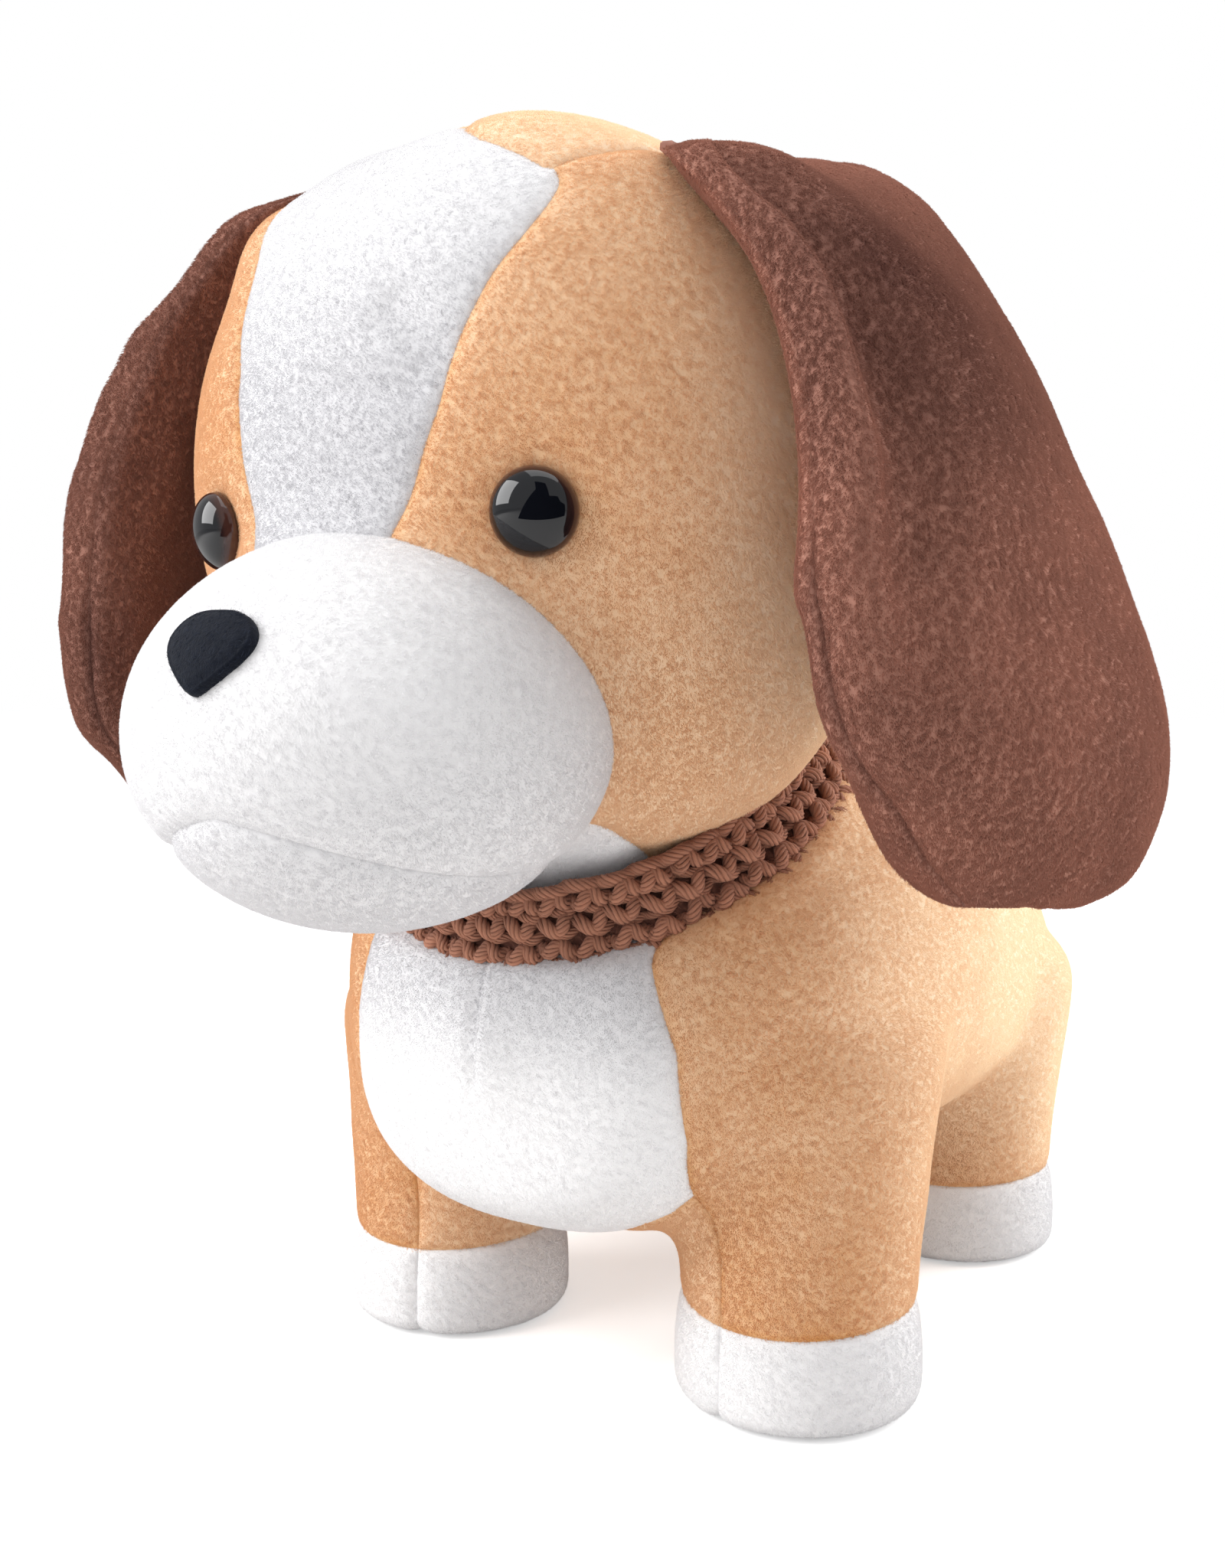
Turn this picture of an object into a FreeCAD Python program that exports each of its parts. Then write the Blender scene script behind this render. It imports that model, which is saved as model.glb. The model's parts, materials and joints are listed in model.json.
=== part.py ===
import FreeCAD, Part
import math
import os
import Sketcher
from FreeCAD import Vector, Placement, Rotation

# Stuffed toy dog, standing on four short legs. It faces -Y, +Z is up, its left side is +X.
# The origin is on the ground, under the middle of the toy's outline box.
# Covers are thin fabric shells cut into the sewn panels; the fillings are solids inside them.

doc = FreeCAD.newDocument("plush_dog")
sheet = doc.addObject("Spreadsheet::Sheet", "Sizes")

# ---- driving dimensions: alias, value, note
# Every _y, _front and _back place is measured from the front feet's centre line.
SIZES = [
    ("shift_y", -19.24, "y of the front feet's centre line"),
    ("fabric", 2.4, "pile fabric thickness"),
    ("gap", 0.3, "clearance kept between neighbouring pieces"),
    ("fill_gap", 0.6, "clearance between the head, trunk and leg covers and their fillings"),
    # head
    ("head_half_width", 68.9, "head ellipsoid, side to side"),
    ("head_half_depth", 56.6, "head ellipsoid, front to back"),
    ("head_half_height", 71.7, "head ellipsoid, along its own upright"),
    ("head_mid_y", -29.4, "head ellipsoid centre"),
    ("head_mid_z", 173.2, "head ellipsoid centre"),
    ("head_tilt", 18.2, "degrees the crown leans forward"),
    ("muzzle_half_width", 41.6, "muzzle ellipsoid, side to side"),
    ("muzzle_half_depth", 40.0, "muzzle ellipsoid, front to back"),
    ("muzzle_half_height", 33.7, "muzzle ellipsoid, along its own upright"),
    ("muzzle_mid_y", -77.2, "muzzle ellipsoid centre"),
    ("muzzle_mid_z", 134.1, "muzzle ellipsoid centre"),
    ("muzzle_tilt", 3.9, "degrees the muzzle's top leans forward"),
    ("mouth_height", 122.5, "height of the mouth seam at the middle"),
    ("mouth_fall", 0.2, "fall of the mouth seam per mm sideways"),
    ("throat_half_width", 28.0, "throat panel, from the middle to its side"),
    ("throat_top", 119.0, "height of the throat panel's upper limit"),
    ("throat_back", -22.0, "rear limit of the throat panel"),
    # eyes and nose
    ("eye_width", 14.0, "safety eye diameter"),
    ("eye_dome", 4.6, "dome height"),
    ("eye_rim", 1.1, "straight rim under the dome"),
    ("eye_lift", 0.35, "rim's underside above the cover's outer face"),
    ("eye_shank_width", 4.0, "shank diameter"),
    ("eye_shank_length", 13.0, "shank length under the rim"),
    ("eye_side", 34.3, "eye, from the middle, before it is set on the head"),
    ("eye_front", -79.5, "eye, y before it is set on the head"),
    ("eye_height", 168.1, "eye, z before it is set on the head"),
    ("washer_width", 15.0, "washer diameter"),
    ("washer_thick", 1.6, "washer thickness"),
    ("washer_depth", 3.4, "washer face below the cover's outer face"),
    ("washer_gap", 0.15, "radial clearance between shank and washer"),
    ("nose_width", 17.5, "felt nose, across the top"),
    ("nose_height", 15.0, "felt nose, scale of its outline's height"),
    ("nose_thick", 1.4, "felt thickness"),
    ("nose_gap", 0.35, "clearance between muzzle and felt"),
    ("nose_mid_z", 147.6, "height of the nose outline's middle"),
    # neck and collar
    ("neck_tilt", 31.0, "degrees the neck axis leans forward"),
    ("neck_mid_y", -6.5, "neck frame's origin"),
    ("neck_mid_z", 118.0, "neck frame's origin"),
    ("body_cut", -7.0, "body top plane along the neck axis"),
    ("head_cut", 6.4, "head bottom plane along the neck axis"),
    ("neck_fill_gap", 0.8, "set-back of the fillings at the neck planes and round the wad"),
    ("neck_rad", 27.0, "neck wad radius"),
    ("neck_down", 14.0, "neck wad depth in the body"),
    ("neck_up", 13.0, "neck wad height into the head"),
    ("wad_end_gap", 1.0, "clearance beyond each end of the neck wad"),
    ("thread_rad", 35.5, "ladder stitch ring radius"),
    ("thread_thick", 0.6, "ladder stitch ring wire radius"),
    ("collar_low_rad", 50.0, "collar outer radius at its lower edge"),
    ("collar_top_rad", 43.6, "collar outer radius at its upper edge"),
    ("collar_thick", 4.2, "collar thickness, square to the neck axis"),
    ("collar_low", -6.4, "collar lower edge along the neck axis"),
    ("collar_top", 5.8, "collar upper edge along the neck axis"),
    # body and legs
    ("seam_side", 36.6, "side of the seam that runs down the legs"),
    ("seam_height", 47.0, "height where the underbody panel ends"),
    ("leg_rad", 24.8, "leg radius over the cover"),
    ("leg_top", 62.0, "height where the leg cylinders end inside the trunk"),
    ("leg_inside_low", 1.0, "lower end of the hollow in the leg cover"),
    ("leg_fill_low", 5.4, "lower end of the leg filling"),
    ("paw_top", 22.0, "height of the white paw"),
    ("paw_round", 4.0, "radius of the paw's lower outer edge"),
    ("sole_rad", 19.6, "sole disc radius"),
    ("front_leg_side", 42.5, "front leg axis, from the middle"),
    ("front_leg_y", 0.0, "front leg axis"),
    ("rear_leg_side", 39.1, "rear leg axis, from the middle"),
    ("rear_leg_y", 99.1, "rear leg axis"),
    # ears and tail
    ("ear_thick", 5.0, "half thickness of the ear at its middle"),
    ("ear_bulge", 9.0, "how far the ear bows outward"),
    ("tail_rad", 8.5, "tail's greatest radius"),
    ("tail_length", 40.0, "from the tail base to the tip"),
    ("tail_start", 9.0, "from the tail base to the origin of the tail's profile"),
    ("tail_blunt", 0.9, "shortening of the tail's round end"),
    ("tail_fill_gap", 0.5, "clearance between tail cover and filling"),
    ("tail_base_y", 125.5, "tail base"),
    ("tail_base_z", 94.0, "tail base"),
    ("tail_lean", 50.0, "degrees the tail leans back from upright"),
]
for row, (alias, size, note) in enumerate(SIZES, 1):
    sheet.set(f"A{row}", alias)
    sheet.set(f"B{row}", str(size))
    sheet.setAlias(f"B{row}", alias)
    sheet.set(f"C{row}", note)
doc.recompute()


def dim(name):
    return float(sheet.get(name))


SHIFT_Y = dim("shift_y")
FABRIC = dim("fabric")
GAP = dim("gap")
HALF_GAP = GAP / 2.0
FILL_INSET = FABRIC + dim("fill_gap")
SIDES = (("left", 1), ("right", -1))
UP = Vector(0, 0, 1)

# Expression endings that grow or shrink a form from the cover's outer face
OUTER = ""
INSIDE = " - Sizes.fabric"
FILLING = " - Sizes.fabric - Sizes.fill_gap"
CLEAR = " + Sizes.gap"

PIECES = []


# ---- document helpers
def piece(obj):
    """Marks an object as a finished piece, exported under its label."""
    PIECES.append(obj)
    return obj


def feature(name, shape, place=None):
    obj = doc.addObject("Part::Feature", name)
    obj.Shape = shape
    obj.Placement = place or Placement()
    return obj


def cut(name, base, tool):
    obj = doc.addObject("Part::Cut", name)
    obj.Base = base
    obj.Tool = tool
    return obj


def common(name, base, tool):
    obj = doc.addObject("Part::Common", name)
    obj.Base = base
    obj.Tool = tool
    return obj


def fuse(name, shapes):
    obj = doc.addObject("Part::MultiFuse", name)
    obj.Shapes = shapes
    return obj


def mirrored(name, source):
    """The other side's twin of a piece."""
    obj = doc.addObject("Part::Mirroring", name)
    obj.Source = source
    obj.Base = Vector(0, 0, 0)
    obj.Normal = Vector(1, 0, 0)
    return obj


def paired_panels(stem, shell):
    """Left panel of a shell and its mirrored right twin."""
    left = piece(common(stem + "_left", shell, left_half))
    piece(mirrored(stem + "_right", left))


def ellipsoid(name, stem, offset):
    """The head or muzzle ellipsoid, grown or shrunk by the expression ending 'offset'."""
    obj = doc.addObject("Part::Ellipsoid", name)
    obj.Angle1 = -90
    obj.Angle2 = 90
    obj.Angle3 = 360
    for radius, way in (("Radius1", "height"), ("Radius2", "width"), ("Radius3", "depth")):
        obj.setExpression(radius, f"Sizes.{stem}_half_{way}{offset}")
    obj.Placement = Placement(
        shifted(0, dim(stem + "_mid_y"), dim(stem + "_mid_z")),
        Rotation(Vector(1, 0, 0), dim(stem + "_tilt")))
    return obj


# ---- shape helpers
def shifted(x, y, z):
    """A point whose y is measured from the front feet's centre line."""
    return Vector(x, y + SHIFT_Y, z)


def box(x0, x1, y0, y1, z0, z1):
    return Part.makeBox(x1 - x0, y1 - y0, z1 - z0, Vector(x0, y0, z0))


def prism(points, direction):
    """A straight prism on a closed polygon."""
    return Part.Face(Part.makePolygon(points + [points[0]])).extrude(direction)


def symmetric_prism(edge, start_y, length):
    """A prism running back from start_y; its outline mirrors the (x, z) edge to the other side."""
    points = [Vector(x, start_y, z) for x, z in edge]
    points += [Vector(-x, start_y, z) for x, z in reversed(edge)]
    return prism(points, Vector(0, length, 0))


def spline(points, closed=False):
    curve = Part.BSplineCurve()
    if closed:
        curve.interpolate(points, PeriodicFlag=True)
    else:
        curve.interpolate(points)
    return curve.toShape()


def turned_face(wire):
    return Part.Face(wire).revolve(Vector(0, 0, 0), UP, 360)


def panel_space(name, region):
    """A panel's region drawn in by half the gap, and let out by half for its neighbours."""
    return feature(name, region(-HALF_GAP)), feature(name + "_clear", region(HALF_GAP))


# ---- sketch helpers
def value(expression):
    """Number behind a sum of cells and numbers, each with an optional divisor."""
    total = 0.0
    for term in expression.replace(" ", "").replace("-", "+-").split("+"):
        if not term:
            continue
        top, _, divisor = term.lstrip("-").partition("/")
        number = dim(top[len("Sizes."):]) if top.startswith("Sizes.") else float(top)
        number /= float(divisor or 1)
        total += -number if term.startswith("-") else number
    return total


def sketch_on(body, name, role):
    sketch = body.newObject("Sketcher::SketchObject", name)
    plane = [part for part in body.Origin.OriginFeatures if part.Role == role][0]
    sketch.AttachmentSupport = [(plane, "")]
    sketch.MapMode = "FlatFace"
    return sketch


def drive(sketch, constraint, expression):
    index = sketch.addConstraint(constraint)
    sketch.setExpression(f"Constraints[{index}]", expression)


def pin(sketch, line, end, corner):
    """Ties a line's end to a pair of sheet expressions; zero puts it on the sketch's axis."""
    for kind, axis, expression in (("DistanceX", -2, corner[0]), ("DistanceY", -1, corner[1])):
        if expression == "0":
            sketch.addConstraint(Sketcher.Constraint("PointOnObject", line, end, axis))
        else:
            distance = Sketcher.Constraint(kind, -1, 1, line, end, value(expression))
            drive(sketch, distance, expression)


def join(sketch, first, first_end, second, second_end):
    sketch.addConstraint(
        Sketcher.Constraint("Coincident", first, first_end, second, second_end))


def pinned_lines(sketch, corners, closed):
    """Joined straight lines through corners given as expressions; returns their indices."""
    points = [Vector(value(x), value(y), 0) for x, y in corners]
    if closed:
        points.append(points[0])
    lines = [sketch.addGeometry(Part.LineSegment(start, end), False)
             for start, end in zip(points, points[1:])]
    for line, following in zip(lines, lines[1:]):
        join(sketch, line, 2, following, 1)
    if closed:
        join(sketch, lines[-1], 2, lines[0], 1)
    for line, corner in zip(lines, corners):
        pin(sketch, line, 1, corner)
    if not closed:
        pin(sketch, lines[-1], 2, corners[-1])
    return lines


def turn(body, sketch):
    """Turns a profile fully about its body's own Z."""
    revolution = body.newObject("PartDesign::Revolution", body.Name + "_turn")
    revolution.Profile = sketch
    revolution.ReferenceAxis = (sketch, ["V_Axis"])
    revolution.Angle = 360.0


def turned(name, corners, place):
    """A turned body from closed (radius, height) corners."""
    body = doc.addObject("PartDesign::Body", name)
    sketch = sketch_on(body, name + "_profile", "XZ_Plane")
    pinned_lines(sketch, corners, closed=True)
    turn(body, sketch)
    body.Placement = place
    return body


# ---- neck frame: its Z is the neck axis
NECK = Placement(shifted(0, dim("neck_mid_y"), dim("neck_mid_z")),
                 Rotation(Vector(1, 0, 0), dim("neck_tilt")))
FAR = 300.0  # beyond the toy along the neck axis


def neck_slab(name, low, high):
    """Everything between two planes across the neck."""
    return feature(name, box(-400.0, 400.0, -400.0, 400.0, low, high), NECK)


NECK_FILL_GAP = dim("neck_fill_gap")
above_body = neck_slab("above_body_cut", dim("body_cut"), FAR)
above_body_fill = neck_slab("above_body_fill_cut", dim("body_cut") - NECK_FILL_GAP, FAR)
below_head = neck_slab("below_head_cut", -FAR, dim("head_cut"))
below_head_fill = neck_slab("below_head_fill_cut", -FAR, dim("head_cut") + NECK_FILL_GAP)
left_half = feature("left_half", box(HALF_GAP, 200, -250, 250, -50, 300))

# ---- head and muzzle shells
head_out = ellipsoid("head_form", "head", OUTER)
head_in = ellipsoid("head_form_inside", "head", INSIDE)
head_clear = ellipsoid("head_form_clear", "head", CLEAR)
muzzle_out = ellipsoid("muzzle_form", "muzzle", OUTER)
muzzle_in = ellipsoid("muzzle_form_inside", "muzzle", INSIDE)
muzzle_clear = ellipsoid("muzzle_form_clear", "muzzle", CLEAR)

head_shell = cut("head_shell", head_out, head_in)
head_shell = cut("head_shell_open_front", head_shell, muzzle_clear)
head_shell = cut("head_shell_open_neck", head_shell, below_head)
muzzle_shell = cut("muzzle_shell", muzzle_out, muzzle_in)
muzzle_shell = cut("muzzle_shell_open", muzzle_shell, head_clear)

# ---- eyes: a domed button with its shank, and the washer behind the cloth
HEAD_MID = shifted(0, dim("head_mid_y"), dim("head_mid_z"))
HEAD_ROTATION = Rotation(Vector(1, 0, 0), dim("head_tilt"))
BORE_DEPTH = 15  # start of the eye holes and pockets, below the cover's outer face
HOLE_GAP = 0.2  # radial clearance of the holes round the shanks
HOLE_LENGTH = 30
POCKET_GAP = 0.5  # radial clearance of the pockets round the washers
POCKET_LENGTH = 17


def eye_place(side, lift):
    """Frame on the head's surface, Z pointing out, moved out by lift."""
    wide, deep, high = (dim("head_half_" + way) for way in ("width", "depth", "height"))
    rough = shifted(side * dim("eye_side"), dim("eye_front"), dim("eye_height"))
    local = HEAD_ROTATION.inverted().multVec(rough - HEAD_MID)
    # drawn towards the head's middle until it lies on the ellipsoid
    reach = math.sqrt((local.x / wide) ** 2 + (local.y / deep) ** 2 + (local.z / high) ** 2)
    local = local * (1.0 / reach)
    normal = Vector(local.x / wide ** 2, local.y / deep ** 2, local.z / high ** 2).normalize()
    normal = HEAD_ROTATION.multVec(normal)
    foot = HEAD_MID + HEAD_ROTATION.multVec(local)
    return Placement(foot + normal * lift, Rotation(UP, normal))


def eye(word, side):
    body = doc.addObject("PartDesign::Body", "eye_" + word)
    sketch = sketch_on(body, f"eye_{word}_profile", "XZ_Plane")
    radius, rim, dome = dim("eye_width") / 2, dim("eye_rim"), dim("eye_dome")
    top = rim + dome
    dome_radius = (radius ** 2 + dome ** 2) / (2 * dome)
    dome_mid = top - dome_radius
    half_angle = math.atan2(radius, rim - dome_mid) / 2
    rim_point = Vector(radius, rim, 0)
    halfway = Vector(dome_radius * math.sin(half_angle),
                     dome_mid + dome_radius * math.cos(half_angle), 0)
    arc = sketch.addGeometry(Part.Arc(rim_point, halfway, Vector(0, top, 0)), False)
    lines = pinned_lines(sketch, [
        ("0", "Sizes.eye_rim + Sizes.eye_dome"),
        ("0", "-Sizes.eye_shank_length"),
        ("Sizes.eye_shank_width / 2", "-Sizes.eye_shank_length"),
        ("Sizes.eye_shank_width / 2", "0"),
        ("Sizes.eye_width / 2", "0"),
        ("Sizes.eye_width / 2", "Sizes.eye_rim")], closed=False)
    # the sketch may store the arc's ends in either order
    rim_end = 1 if (sketch.getPoint(arc, 1) - rim_point).Length < 1e-6 else 2
    join(sketch, arc, rim_end, lines[-1], 2)
    join(sketch, arc, 3 - rim_end, lines[0], 1)
    drive(sketch, Sketcher.Constraint("Radius", arc, dome_radius),
          "((Sizes.eye_width / 2)^2 + Sizes.eye_dome^2) / (2 * Sizes.eye_dome)")
    turn(body, sketch)
    body.Placement = eye_place(side, dim("eye_lift"))
    return body


def eye_washer(word, side):
    bore = "Sizes.eye_shank_width / 2 + Sizes.washer_gap"
    return turned("eye_washer_" + word, [
        (bore, "0"),
        ("Sizes.washer_width / 2", "0"),
        ("Sizes.washer_width / 2", "Sizes.washer_thick"),
        (bore, "Sizes.washer_thick")],
        eye_place(side, -dim("washer_depth") - dim("washer_thick")))


def eye_bores(name, radius, length):
    """A cylinder along each eye's axis."""
    bores = []
    for _, side in SIDES:
        place = eye_place(side, -BORE_DEPTH)
        axis = place.Rotation.multVec(UP)
        bores.append(Part.makeCylinder(radius, length, place.Base, axis))
    return feature(name, Part.makeCompound(bores))


for word, side in SIDES:
    piece(eye(word, side))
    piece(eye_washer(word, side))
eye_holes = eye_bores("eye_holes", dim("eye_shank_width") / 2 + HOLE_GAP, HOLE_LENGTH)
eye_pockets = eye_bores("eye_pockets", dim("washer_width") / 2 + POCKET_GAP, POCKET_LENGTH)

# ---- head panels
# Ear-to-ear seam from above: x, y from the front feet
EAR_SEAM = [
    (-80, 2), (-50, -20), (-38, -43), (-28.5, -66.5), (-20, -66), (0, -64.5),
    (20, -66), (28.5, -66.5), (38, -43), (50, -20), (80, 2)]
# White stripe between the eyes, from the front: half width, z
STRIPE_EDGE = [
    (13, 145), (15, 165), (18.5, 172.5), (21, 179), (22.2, 185), (24.3, 193),
    (27, 202), (30, 213), (31, 222), (31, 260)]
PANEL_FLOOR = 60  # the head's cutting regions start at this height


def seam_region(offset):
    """The space in front of the ear-to-ear seam, with the seam moved back by offset."""
    points = [shifted(x, y + offset, PANEL_FLOOR) for x, y in EAR_SEAM]
    points += [shifted(80, -160, PANEL_FLOOR), shifted(-80, -160, PANEL_FLOOR)]
    return prism(points, Vector(0, 0, 220))


def stripe_region(offset):
    return symmetric_prism([(x + offset, z) for x, z in STRIPE_EDGE], -160.0, 220)


def throat_region(offset):
    half_width = dim("throat_half_width") + offset
    return box(-half_width, half_width, -120, dim("throat_back") + SHIFT_Y + offset,
               PANEL_FLOOR, dim("throat_top") + offset)


front_space, front_clear = panel_space("front_of_ear_seam", seam_region)
stripe_space, stripe_clear = panel_space("stripe_space", stripe_region)
throat_space, throat_clear = panel_space("throat_space", throat_region)

piece(common("throat_panel", head_shell, throat_space))
head_front = common("head_front_shell", head_shell, front_space)
piece(common("forehead_stripe", head_front, stripe_space))

head_face = cut("head_face_shell", head_front, eye_holes)
head_face = cut("head_face_shell_without_stripe", head_face, stripe_clear)
head_face = cut("head_face_shell_without_throat", head_face, throat_clear)
paired_panels("head_face", head_face)

head_back = cut("head_back_shell", head_shell, front_clear)
head_back = cut("head_back_shell_without_throat", head_back, throat_clear)
paired_panels("head_back", head_back)


# ---- muzzle panels, split along the mouth seam
def chin_region(offset):
    """The space under the mouth seam, which falls to both sides."""
    half_width = 60
    ridge = dim("mouth_height") + offset
    side_z = ridge - half_width * dim("mouth_fall")
    outline = [(-half_width, side_z), (0, ridge), (half_width, side_z),
               (half_width, PANEL_FLOOR), (-half_width, PANEL_FLOOR)]
    return prism([Vector(x, -170.0, z) for x, z in outline], Vector(0, 170, 0))


chin_space, chin_clear = panel_space("chin_space", chin_region)
piece(cut("muzzle_top", muzzle_shell, chin_clear))
piece(common("chin_panel", muzzle_shell, chin_space))

# ---- felt nose, a layer over the muzzle
# Outline from the front: x in half widths, z in heights from the nose's middle
NOSE_OUTLINE = [
    (-1.0, 0.17), (-0.83, 0.38), (-0.35, 0.45), (0.35, 0.45), (0.83, 0.38), (1.0, 0.17),
    (0.84, -0.08), (0.46, -0.34), (0.16, -0.5), (-0.16, -0.5), (-0.46, -0.34), (-0.84, -0.08)]

nose_out = ellipsoid("nose_outer_form", "muzzle", " + Sizes.nose_gap + Sizes.nose_thick")
nose_in = ellipsoid("nose_inner_form", "muzzle", " + Sizes.nose_gap")
nose_edge = spline([
    Vector(x * dim("nose_width") / 2, -170.0, dim("nose_mid_z") + z * dim("nose_height"))
    for x, z in NOSE_OUTLINE], closed=True)
nose_space = feature("nose_outline", Part.Face(Part.Wire(nose_edge)).extrude(Vector(0, 90, 0)))
piece(common("nose_felt", cut("nose_shell", nose_out, nose_in), nose_space))

# ---- neck wad, ladder stitch ring and collar
piece(turned("neck_wad", [
    ("0", "-Sizes.neck_down"),
    ("Sizes.neck_rad", "-Sizes.neck_down"),
    ("Sizes.neck_rad", "Sizes.neck_up"),
    ("0", "Sizes.neck_up")], NECK))

thread = piece(doc.addObject("Part::Torus", "neck_thread"))
thread.setExpression("Radius1", "Sizes.thread_rad")
thread.setExpression("Radius2", "Sizes.thread_thick")
thread.Placement = NECK

piece(turned("collar", [
    ("Sizes.collar_low_rad - Sizes.collar_thick", "Sizes.collar_low"),
    ("Sizes.collar_low_rad", "Sizes.collar_low"),
    ("Sizes.collar_top_rad", "Sizes.collar_top"),
    ("Sizes.collar_top_rad - Sizes.collar_thick", "Sizes.collar_top")], NECK))

# ---- head filling: one solid, open for the eye shanks and the neck wad
wad_space = feature("neck_wad_space", Part.makeCylinder(
    dim("neck_rad") + NECK_FILL_GAP,
    dim("neck_up") + dim("neck_down") + 2 * dim("wad_end_gap"),
    Vector(0, 0, -dim("neck_down") - dim("wad_end_gap"))), NECK)

head_filling = fuse("head_filling_solid", [
    ellipsoid("head_filling_form", "head", FILLING),
    ellipsoid("muzzle_filling_form", "muzzle", FILLING)])
head_filling = cut("head_filling_flat", head_filling, below_head_fill)
head_filling = cut("head_filling_eyes", head_filling, eye_pockets)
piece(cut("head_filling", head_filling, wad_space))

# ---- body: a lofted trunk and four legs
# Trunk stations: y from the front feet, half width, bottom z, top z
TRUNK = [
    (-49.0, 13.0, 60.0, 86.0), (-46.3, 27.0, 48.0, 98.0), (-40.0, 39.0, 41.0, 108.0),
    (-28.0, 51.0, 36.0, 119.0), (-10.0, 61.5, 33.0, 128.0), (15.0, 66.5, 32.0, 133.0),
    (45.0, 68.5, 32.0, 129.0), (75.0, 69.0, 32.0, 120.0), (98.0, 66.5, 33.0, 112.0),
    (114.0, 59.0, 36.5, 103.5), (124.5, 46.0, 43.0, 94.5), (130.5, 24.0, 55.0, 81.0)]
TRUNK_MID_Y = 40.0  # the trunk is shortened towards this y
TRUNK_HALF_LENGTH = 90.0
SECTION_POINTS = 28
SECTION_POWER = 2 / 2.5  # fuller than an ellipse, whose power is 1
LEGS = [(f"{end}_{word}", side, end) for end in ("front", "rear") for word, side in SIDES]


def trunk(inset):
    """The trunk, drawn in by inset from the cover's outer face."""
    shorten = (TRUNK_HALF_LENGTH - inset) / TRUNK_HALF_LENGTH
    sections = []
    for station_y, half_width, bottom, top in TRUNK:
        y = TRUNK_MID_Y + (station_y - TRUNK_MID_Y) * shorten
        mid_z = (bottom + top) / 2
        half_height = (top - bottom) / 2 - inset
        points = []
        for i in range(SECTION_POINTS):
            angle = 2 * math.pi * i / SECTION_POINTS
            across, upward = (math.copysign(abs(part) ** SECTION_POWER, part)
                              for part in (math.cos(angle), math.sin(angle)))
            points.append(
                shifted((half_width - inset) * across, y, mid_z + half_height * upward))
        sections.append(Part.Wire(spline(points, closed=True)))
    return Part.makeLoft(sections, True, False)


def leg_foot(side, end, z=0.0):
    return shifted(side * dim(end + "_leg_side"), dim(end + "_leg_y"), z)


def leg_rods(stem, offset, low):
    """Four upright cylinders from the height in cell 'low' up to the leg tops."""
    rods = []
    for name, side, end in LEGS:
        rod = doc.addObject("Part::Cylinder", stem + name)
        rod.setExpression("Radius", "Sizes.leg_rad" + offset)
        rod.setExpression("Height", "Sizes.leg_top - Sizes." + low)
        rod.Placement = Placement(leg_foot(side, end, dim(low)), Rotation())
        rods.append(rod)
    return rods


trunk_out = feature("trunk_form", trunk(0.0))
trunk_in = feature("trunk_form_inside", trunk(FABRIC))
trunk_fill = feature("trunk_filling_form", trunk(FILL_INSET))
body_out = fuse("body_form", [trunk_out] + leg_rods("leg_form_", OUTER, "paw_top"))
body_in = fuse("body_form_inside",
               [trunk_in] + leg_rods("leg_inside_", INSIDE, "leg_inside_low"))
body_shell = cut("body_shell", body_out, body_in)
body_shell = cut("body_shell_open", body_shell, above_body)

# ---- body panels
# White chest panel from the front: half width, z
CHEST_BOTTOM = [(13, 34.2), (23, 38), (31.5, 42.5), (36.7, 47)]
CHEST_SIDE = [(38.5, 59), (37.5, 76), (32.5, 92), (29, 130)]
SEAM_SIDE = dim("seam_side")


def chest_region(offset):
    edge = [(x + offset, z - offset) for x, z in CHEST_BOTTOM]
    edge += [(x + offset, z) for x, z in CHEST_SIDE]
    return symmetric_prism(edge, -90.0, 75)


def under_region(offset):
    half_width = SEAM_SIDE + offset
    return box(-half_width, half_width, -70, 150, 5, dim("seam_height") + offset)


chest_space, chest_clear = panel_space("chest_space", chest_region)
under_space, under_clear = panel_space("under_space", under_region)
piece(common("chest_panel", body_shell, chest_space))
body_shell = cut("body_shell_without_chest", body_shell, chest_clear)
piece(common("underbody_panel", body_shell, under_space))
body_shell = cut("body_shell_sides", body_shell, under_clear)
paired_panels("body_side", body_shell)

# ---- body filling: trunk and legs in one, open for the neck wad
body_filling = fuse("body_filling_solid",
                    [trunk_fill] + leg_rods("leg_filling_", FILLING, "leg_fill_low"))
body_filling = cut("body_filling_flat", body_filling, above_body_fill)
piece(cut("body_filling", body_filling, wad_space))

# ---- paws: an outer and an inner half cover, and a sole disc
PAW_WALL_RISE = 0.6  # start of the wall's upright inner face, above the paw's rounding
PAW_FOOT_RISE = 0.4  # height of the hole's edge round the sole, above the fabric thickness


def paw_ring():
    """The whole paw cover, turned about Z, with a hole for the sole."""
    radius, rounding = dim("leg_rad"), dim("paw_round")
    top = dim("paw_top") - GAP
    hole = dim("sole_rad") + GAP
    slant = math.pi / 4
    corners = [Vector(x, 0, z) for x, z in (
        (radius, rounding),
        (radius, top),
        (radius - FABRIC, top),
        (radius - FABRIC, rounding + PAW_WALL_RISE),
        (hole, FABRIC + PAW_FOOT_RISE),
        (hole, 0),
        (radius - rounding, 0))]
    halfway = Vector(radius - rounding + rounding * math.sin(slant), 0,
                     rounding - rounding * math.cos(slant))
    edges = [Part.Arc(corners[-1], halfway, corners[0]).toShape()]
    edges += [Part.makeLine(start, end) for start, end in zip(corners, corners[1:])]
    return turned_face(Part.Wire(Part.__sortEdges__(edges)))


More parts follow.
